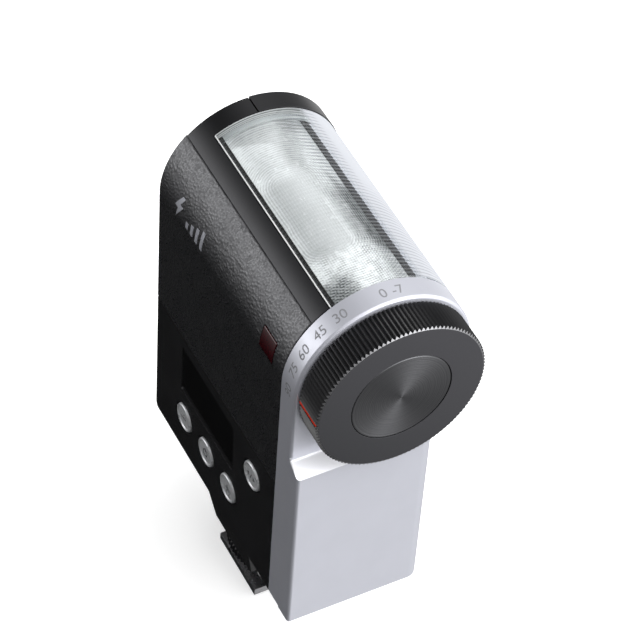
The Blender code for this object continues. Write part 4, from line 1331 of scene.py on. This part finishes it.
# disc in the knob's face, with fine concentric grooves
DISC_LOW, DISC_HIGH = box("knob_disc")
disc_x = DISC_HIGH[0] + 0.03
GROOVE_DEPTH = 0.016
profile = [(DISC_LOW[0], 0), (DISC_LOW[0], 11.62), (disc_x - 0.12, 11.62), (disc_x - 0.03, 11.5),
           (disc_x, 11.35)]
groove = 11.1
while groove > 0.5:
    profile += [(disc_x, groove), (disc_x - GROOVE_DEPTH, groove - 0.10),
                (disc_x - GROOVE_DEPTH, groove - 0.18), (disc_x, groove - 0.28)]
    groove -= 0.46
disc = turned("knob_disc_spun", profile + [(disc_x, 0)], seg=256)
finish(disc, "head", "disc", "knob_disc", angle=40)

# ---- display and sensor window -------------------------------------------------------
glass = prism("display_glass", rounded((SCREEN_LOW[0], SCREEN_HIGH[0]),
                                       (SCREEN_LOW[2], SCREEN_HIGH[2]), 0.45),
              SCREEN_LOW[1], SCREEN_HIGH[1], "Y")
bevel(glass, 0.16, 30, 3)
finish(glass, "case", "display", "display_window", angle=28)

sensor = prism("sensor_window_red", sector(72.2, 87.8, 19.6, BARREL_R + 0.02, 1.0),
               SENSOR_LOW[0], SENSOR_HIGH[0])
bevel(sensor, 0.15, 30, 3)
finish(sensor, "case", "red_window", "sensor_window")


# ---- buttons -------------------------------------------------------------------------
def bar(x0, y0, x1, y1, width=0.28):
    along = np.array([x1 - x0, y1 - y0], float)
    along /= np.linalg.norm(along)
    half = np.array([-along[1], along[0]]) * width / 2
    a, b = np.array([x0, y0]), np.array([x1, y1])
    return [a - half, b - half, b + half, a + half]


def hoop(radius, width=0.28, seg=40):
    quads = []
    inner, outer = radius - width / 2, radius + width / 2
    for k in range(seg):
        t0, t1 = 2 * math.pi * k / seg, 2 * math.pi * (k + 1) / seg
        d0 = np.array([math.cos(t0), math.sin(t0)])
        d1 = np.array([math.cos(t1), math.sin(t1)])
        quads.append([d0 * inner, d0 * outer, d1 * outer, d1 * inner])
    return quads


# polygons about the button's centre, as (x, z)
ICONS = {
    "button_left": [bar(-1.1, 0, 1.1, 0)],
    "button_middle": hoop(0.95) + [bar(0, 0.35, 0, 1.45, 0.26)],
    "button_right": [bar(-1.1, 0, 1.1, 0), bar(0, -1.1, 0, -0.16), bar(0, 0.16, 0, 1.1)],
    "button_side": [[(-1.9, 0), (-0.95, 0.62), (-0.95, -0.62)],
                    [(1.9, 0), (0.95, -0.62), (0.95, 0.62)], bar(-0.3, -0.8, 0.3, 0.8)],
}
# dished face and rounded rim: depth behind the outermost point, radius
CAP_FACE = [(0.10, 0), (0.13, 1.5), (0.20, 2.5), (0.23, 2.85), (0.08, 3.05), (0, 3.20),
            (0, 3.32), (0.07, 3.48), (0.26, 3.62), (0.55, 3.70)]

for name, (x, z) in BUTTONS.items():
    outermost, base = (corner[1] for corner in box(name))
    flange = base - 0.85
    cap = turned(name + "_cap", [(outermost + deep, radius) for deep, radius in CAP_FACE]
                 + [(flange, 3.72), (flange, 4.8), (base, 4.8), (base, 0)], "Y", (x, z), 96)
    finish(cap, name, "button", name, angle=40)
    parts = []
    for polygon in ICONS[name]:
        points = [(x + u, deep + 0.012 * (u ** 2 + v ** 2) / 2, z + v)
                  for deep in (outermost + 0.075, outermost + 0.20) for u, v in polygon]
        parts.append((np.array(points), prism_faces(len(polygon))))
    mark = add(name + "_mark", *merge(parts))
    if name == "button_middle":
        tidy(mark, 0.002)
    finish(mark, name, "icon")

# ---- battery door, with five slots ---------------------------------------------------
door = prism("door_panel", rounded((DOOR_LOW[1], DOOR_HIGH[1]),
                                   (PIN_AT[1] + 0.1, DOOR_HIGH[2]), 0.8), DOOR_LOW[0], -33.3)
fuse(door, rod("barrel", DOOR_LOW[1], DOOR_HIGH[1], 0.95, "Y", PIN_AT, 40))
cut(door, rod("cutter", DOOR_LOW[1] - 1, DOOR_HIGH[1] + 1, 0.7, "Y", PIN_AT, 32))
for i in range(5):
    z0 = 50.2 + i * 1.05
    cut(door, prism("cutter", rounded((1.2, 10.5), (z0, z0 + 0.5), 0.24, 4),
                    END_X - 1, END_X + 0.45))
tidy(door)
bevel(door, 0.18)
finish(door, "battery_door", "black", "battery_door")

# ---- pedestal: flared and hollow -----------------------------------------------------
PED_LOW, PED_HIGH = box("foot_pedestal")
pedestal = prism("pedestal", rounded((-9.4, 9.4), (-13.4, 12.2), 0.3, 4),
                 PED_LOW[2], PED_HIGH[2] + 0.15, "Z",
                 rounded((PED_LOW[0], PED_HIGH[0]), (PED_LOW[1], PED_HIGH[1]), 0.3, 4))
cut(pedestal, prism("cutter", rounded((-7.2, 7.2), (-11.2, 10.0), 1.0, 4), 12.5, 30, "Z",
                    rounded((-10.2, 10.2), (-15.0, 13.5), 1.0, 4)))
bevel(pedestal, 0.15)
finish(pedestal, "case", "black", "foot_pedestal")


# ---- lock wheel ----------------------------------------------------------------------
def wheel_mesh():
    low, high = box("lock_wheel")
    radius = (high[0] - low[0]) / 2
    z0, z1 = low[2], high[2]
    teeth, per_tooth = 72, 8
    seg = teeth * per_tooth
    waves = [0.5 + 0.5 * math.cos(2 * math.pi * (k % per_tooth) / per_tooth) for k in range(seg)]
    knurl = [w ** 0.8 for w in waves]
    # z, radius at the tooth roots, share of the knurl's height
    rows = [(z0, radius - 1.3, 0), (z0, radius - 0.75, 0), (z0 + 0.28, radius - 0.5, 0.3),
            (z0 + 0.5, radius - 0.5, 1.0), (z1 - 0.5, radius - 0.5, 1.0),
            (z1 - 0.28, radius - 0.5, 0.3), (z1, radius - 0.75, 0), (z1, radius - 1.3, 0),
            (z1, 7.9, 0), (z0, 7.9, 0)]
    rings = [(z, r + 0.5 * share * np.array(knurl)) for z, r, share in rows]
    return stacked("wheel_knurled", rings, seg, "Z", (0, 0))


finish(wheel_mesh(), "lock_wheel", "knob", "lock_wheel", angle=34)

# ---- clamp plate and shoe foot -------------------------------------------------------
CLAMP_LOW, CLAMP_HIGH = box("clamp_plate")
clamp = prism("clamp_pressed", rounded((CLAMP_LOW[0], CLAMP_HIGH[0]),
                                       (CLAMP_LOW[1], CLAMP_HIGH[1]), 1.2),
              CLAMP_LOW[2], CLAMP_HIGH[2], "Z")
cut(clamp, rod("cutter", 4, 7, 7.85, "Z", (0, 0), 64))
bevel(clamp, 0.15)
finish(clamp, "shoe_clamp", "steel", "clamp_plate")

FOOT_X, FOOT_Y = box("shoe_foot")[1][:2]
CONTACT_Y = centre_of("contact_centre")[1]
FOOT_CHAMFER = 1.5
foot = prism("foot_machined", [
    (-FOOT_X, -FOOT_Y), (FOOT_X, -FOOT_Y), (FOOT_X, FOOT_Y - FOOT_CHAMFER),
    (FOOT_X - FOOT_CHAMFER, FOOT_Y), (-FOOT_X + FOOT_CHAMFER, FOOT_Y),
    (-FOOT_X, FOOT_Y - FOOT_CHAMFER)], 0, 2.0, "Z")
fuse(foot, block("neck", (-5.9, 5.9), (-4.7, 4.7), (1.0, 6.0)),
     rod("collar", 4.4, 9.2, 7.6, "Z", (0, 0), 72))
cut(foot, rod("cutter", -1, 7.0, 1.05, "Z", (0, CONTACT_Y), 32),
    rod("cutter", -1, 3, 1.1, "Z", (0, -8.4), 32))
for side_sign in (-1, 1):
    screw_at = (side_sign * 4.2, -2.6)
    cut(foot, rod("cutter", -1, 12, 1.1, "Z", screw_at, 24),
        rod("cutter", -1, 1.5, 1.5, "Z", screw_at, 32))
tidy(foot)
bevel(foot, 0.16)
finish(foot, "case", "foot", "shoe_foot")

# ---- carried-over CAD nodes: shape stays, finish changes -----------------------------
CARRY = {
    "board": "control_board power_board trigger_board",
    "winding": "charge_transformer trigger_coil",
    "sleeve": "main_capacitor",
    "cell": "battery_cell_lower battery_cell_upper",
    "steel": "tilt_shaft detent_wheel detent_spring knob_screw case_screw_left "
             "case_screw_right foot_screw_left foot_screw_right door_hinge_pin door_contact "
             "cell_contact_lower cell_contact_upper lock_pin",
    "brass": "contact_centre",
    "silicone": "tube_boot_left tube_boot_right",
    "white": "bush_left bush_right",
    "dark": "display_module slave_sensor key_switch_left key_switch_middle key_switch_right "
            "key_switch_side",
    "black": "battery_tray",
    "flex": "head_cable",
}
for material, names in CARRY.items():
    for name in names.split():
        node = frame["nodes"][name]
        set_materials(node, material)
        smooth(node)
        add_bevel(node, width=0.06, angle=40, segments=2)

# ---- stage ---------------------------------------------------------------------------
FLOOR = 4000
floor = add("floor", [(-FLOOR, -FLOOR, 0), (FLOOR, -FLOOR, 0), (FLOOR, FLOOR, 0),
                      (-FLOOR, FLOOR, 0)], [[0, 1, 2, 3]], fix=False)
n = new_material("pale_floor")
floor.data.materials.append(n.finish(
    Base_Color=n.mix(n.patchy(6.0, 2.0), (0.90, 0.90, 0.905), (0.93, 0.93, 0.93)),
    Roughness=0.9, Specular_IOR_Level=0.1, Emission_Color=(1.0, 1.0, 1.0),
    Emission_Strength=0.45))
floor.visible_glossy = floor.visible_diffuse = floor.visible_shadow = False
floor.location.z = -0.0002

# ---- light: soft lobes in the world; the camera sees plain white ---------------------
# direction, half width in degrees, strength
LOBES = [
    ((-0.985, 0.140, 0.100), 16, 0.700),
    ((-0.585, -0.785, 0.205), 16, 3.553),
    ((0.914, 0.402, 0.060), 18, 3.522),
    ((0.500, 0.309, 0.809), 32, 2.749),
    ((0.309, 0.809, 0.500), 32, 1.815),
    ((-0.585, -0.808, -0.076), 16, 0.420),
    ((0.526, 0.851, 0.000), 32, 0.880),
    ((-0.585, 0.668, -0.461), 16, 0.814),
    ((-0.585, 0.338, 0.737), 16, 0.464),
    ((0.585, 0.338, -0.737), 18, 0.447),
]


def studio_world():
    n = Nodes(bpy.data.worlds.new("studio"), "Background", "Generated")
    total = None
    for direction, half_width, strength in LOBES:
        facing = n.dot(n.coord, Vector(direction).normalized())
        sharpness = math.log(2) / (1 - math.cos(math.radians(half_width)))
        falloff = n.product(n.math("SUBTRACT", facing, 1.0), sharpness)
        lobe = n.product(n.math("EXPONENT", falloff, None), strength)
        total = lobe if total is None else n.math("ADD", total, lobe)
    camera_ray = n.new("ShaderNodeLightPath").outputs["Is Camera Ray"]
    level = n.new("ShaderNodeMix", Factor=camera_ray, A=total, B=1.0)
    return n.finish(Strength=level.outputs["Result"], Color=(1, 1, 1))


scene = bpy.context.scene
scene.world = studio_world()

# ---- camera --------------------------------------------------------------------------
CAMERA_AT = (377.614, -212.687, 554.653)
AZIMUTH, ELEVATION, ROLL = (math.radians(a) for a in (59.99, 47.52, 4.35))

cam_data = bpy.data.cameras.new("camera")
cam_data.sensor_width = 36.0
cam_data.lens = 166.4
cam_data.clip_start, cam_data.clip_end = 0.01, 20
cam = link("camera", cam_data)
back = Vector((math.sin(AZIMUTH) * math.cos(ELEVATION), -math.cos(AZIMUTH) * math.cos(ELEVATION),
               math.sin(ELEVATION)))
right = Vector((math.cos(AZIMUTH), math.sin(AZIMUTH), 0))
up = back.cross(right)
rolled_right = math.cos(ROLL) * right + math.sin(ROLL) * up
rolled_up = -math.sin(ROLL) * right + math.cos(ROLL) * up
turn = Matrix((rolled_right, rolled_up, back)).transposed()
cam.matrix_world = Matrix.Translation(Vector(CAMERA_AT) * MM) @ turn.to_4x4()
scene.camera = cam

scene.view_settings.view_transform = "Standard"
scene.cycles.use_denoising = True
scene.cycles.max_bounces = 14
scene.cycles.transmission_bounces = 12
scene.cycles.transparent_max_bounces = 16
scene.cycles.sample_clamp_indirect = 6.0
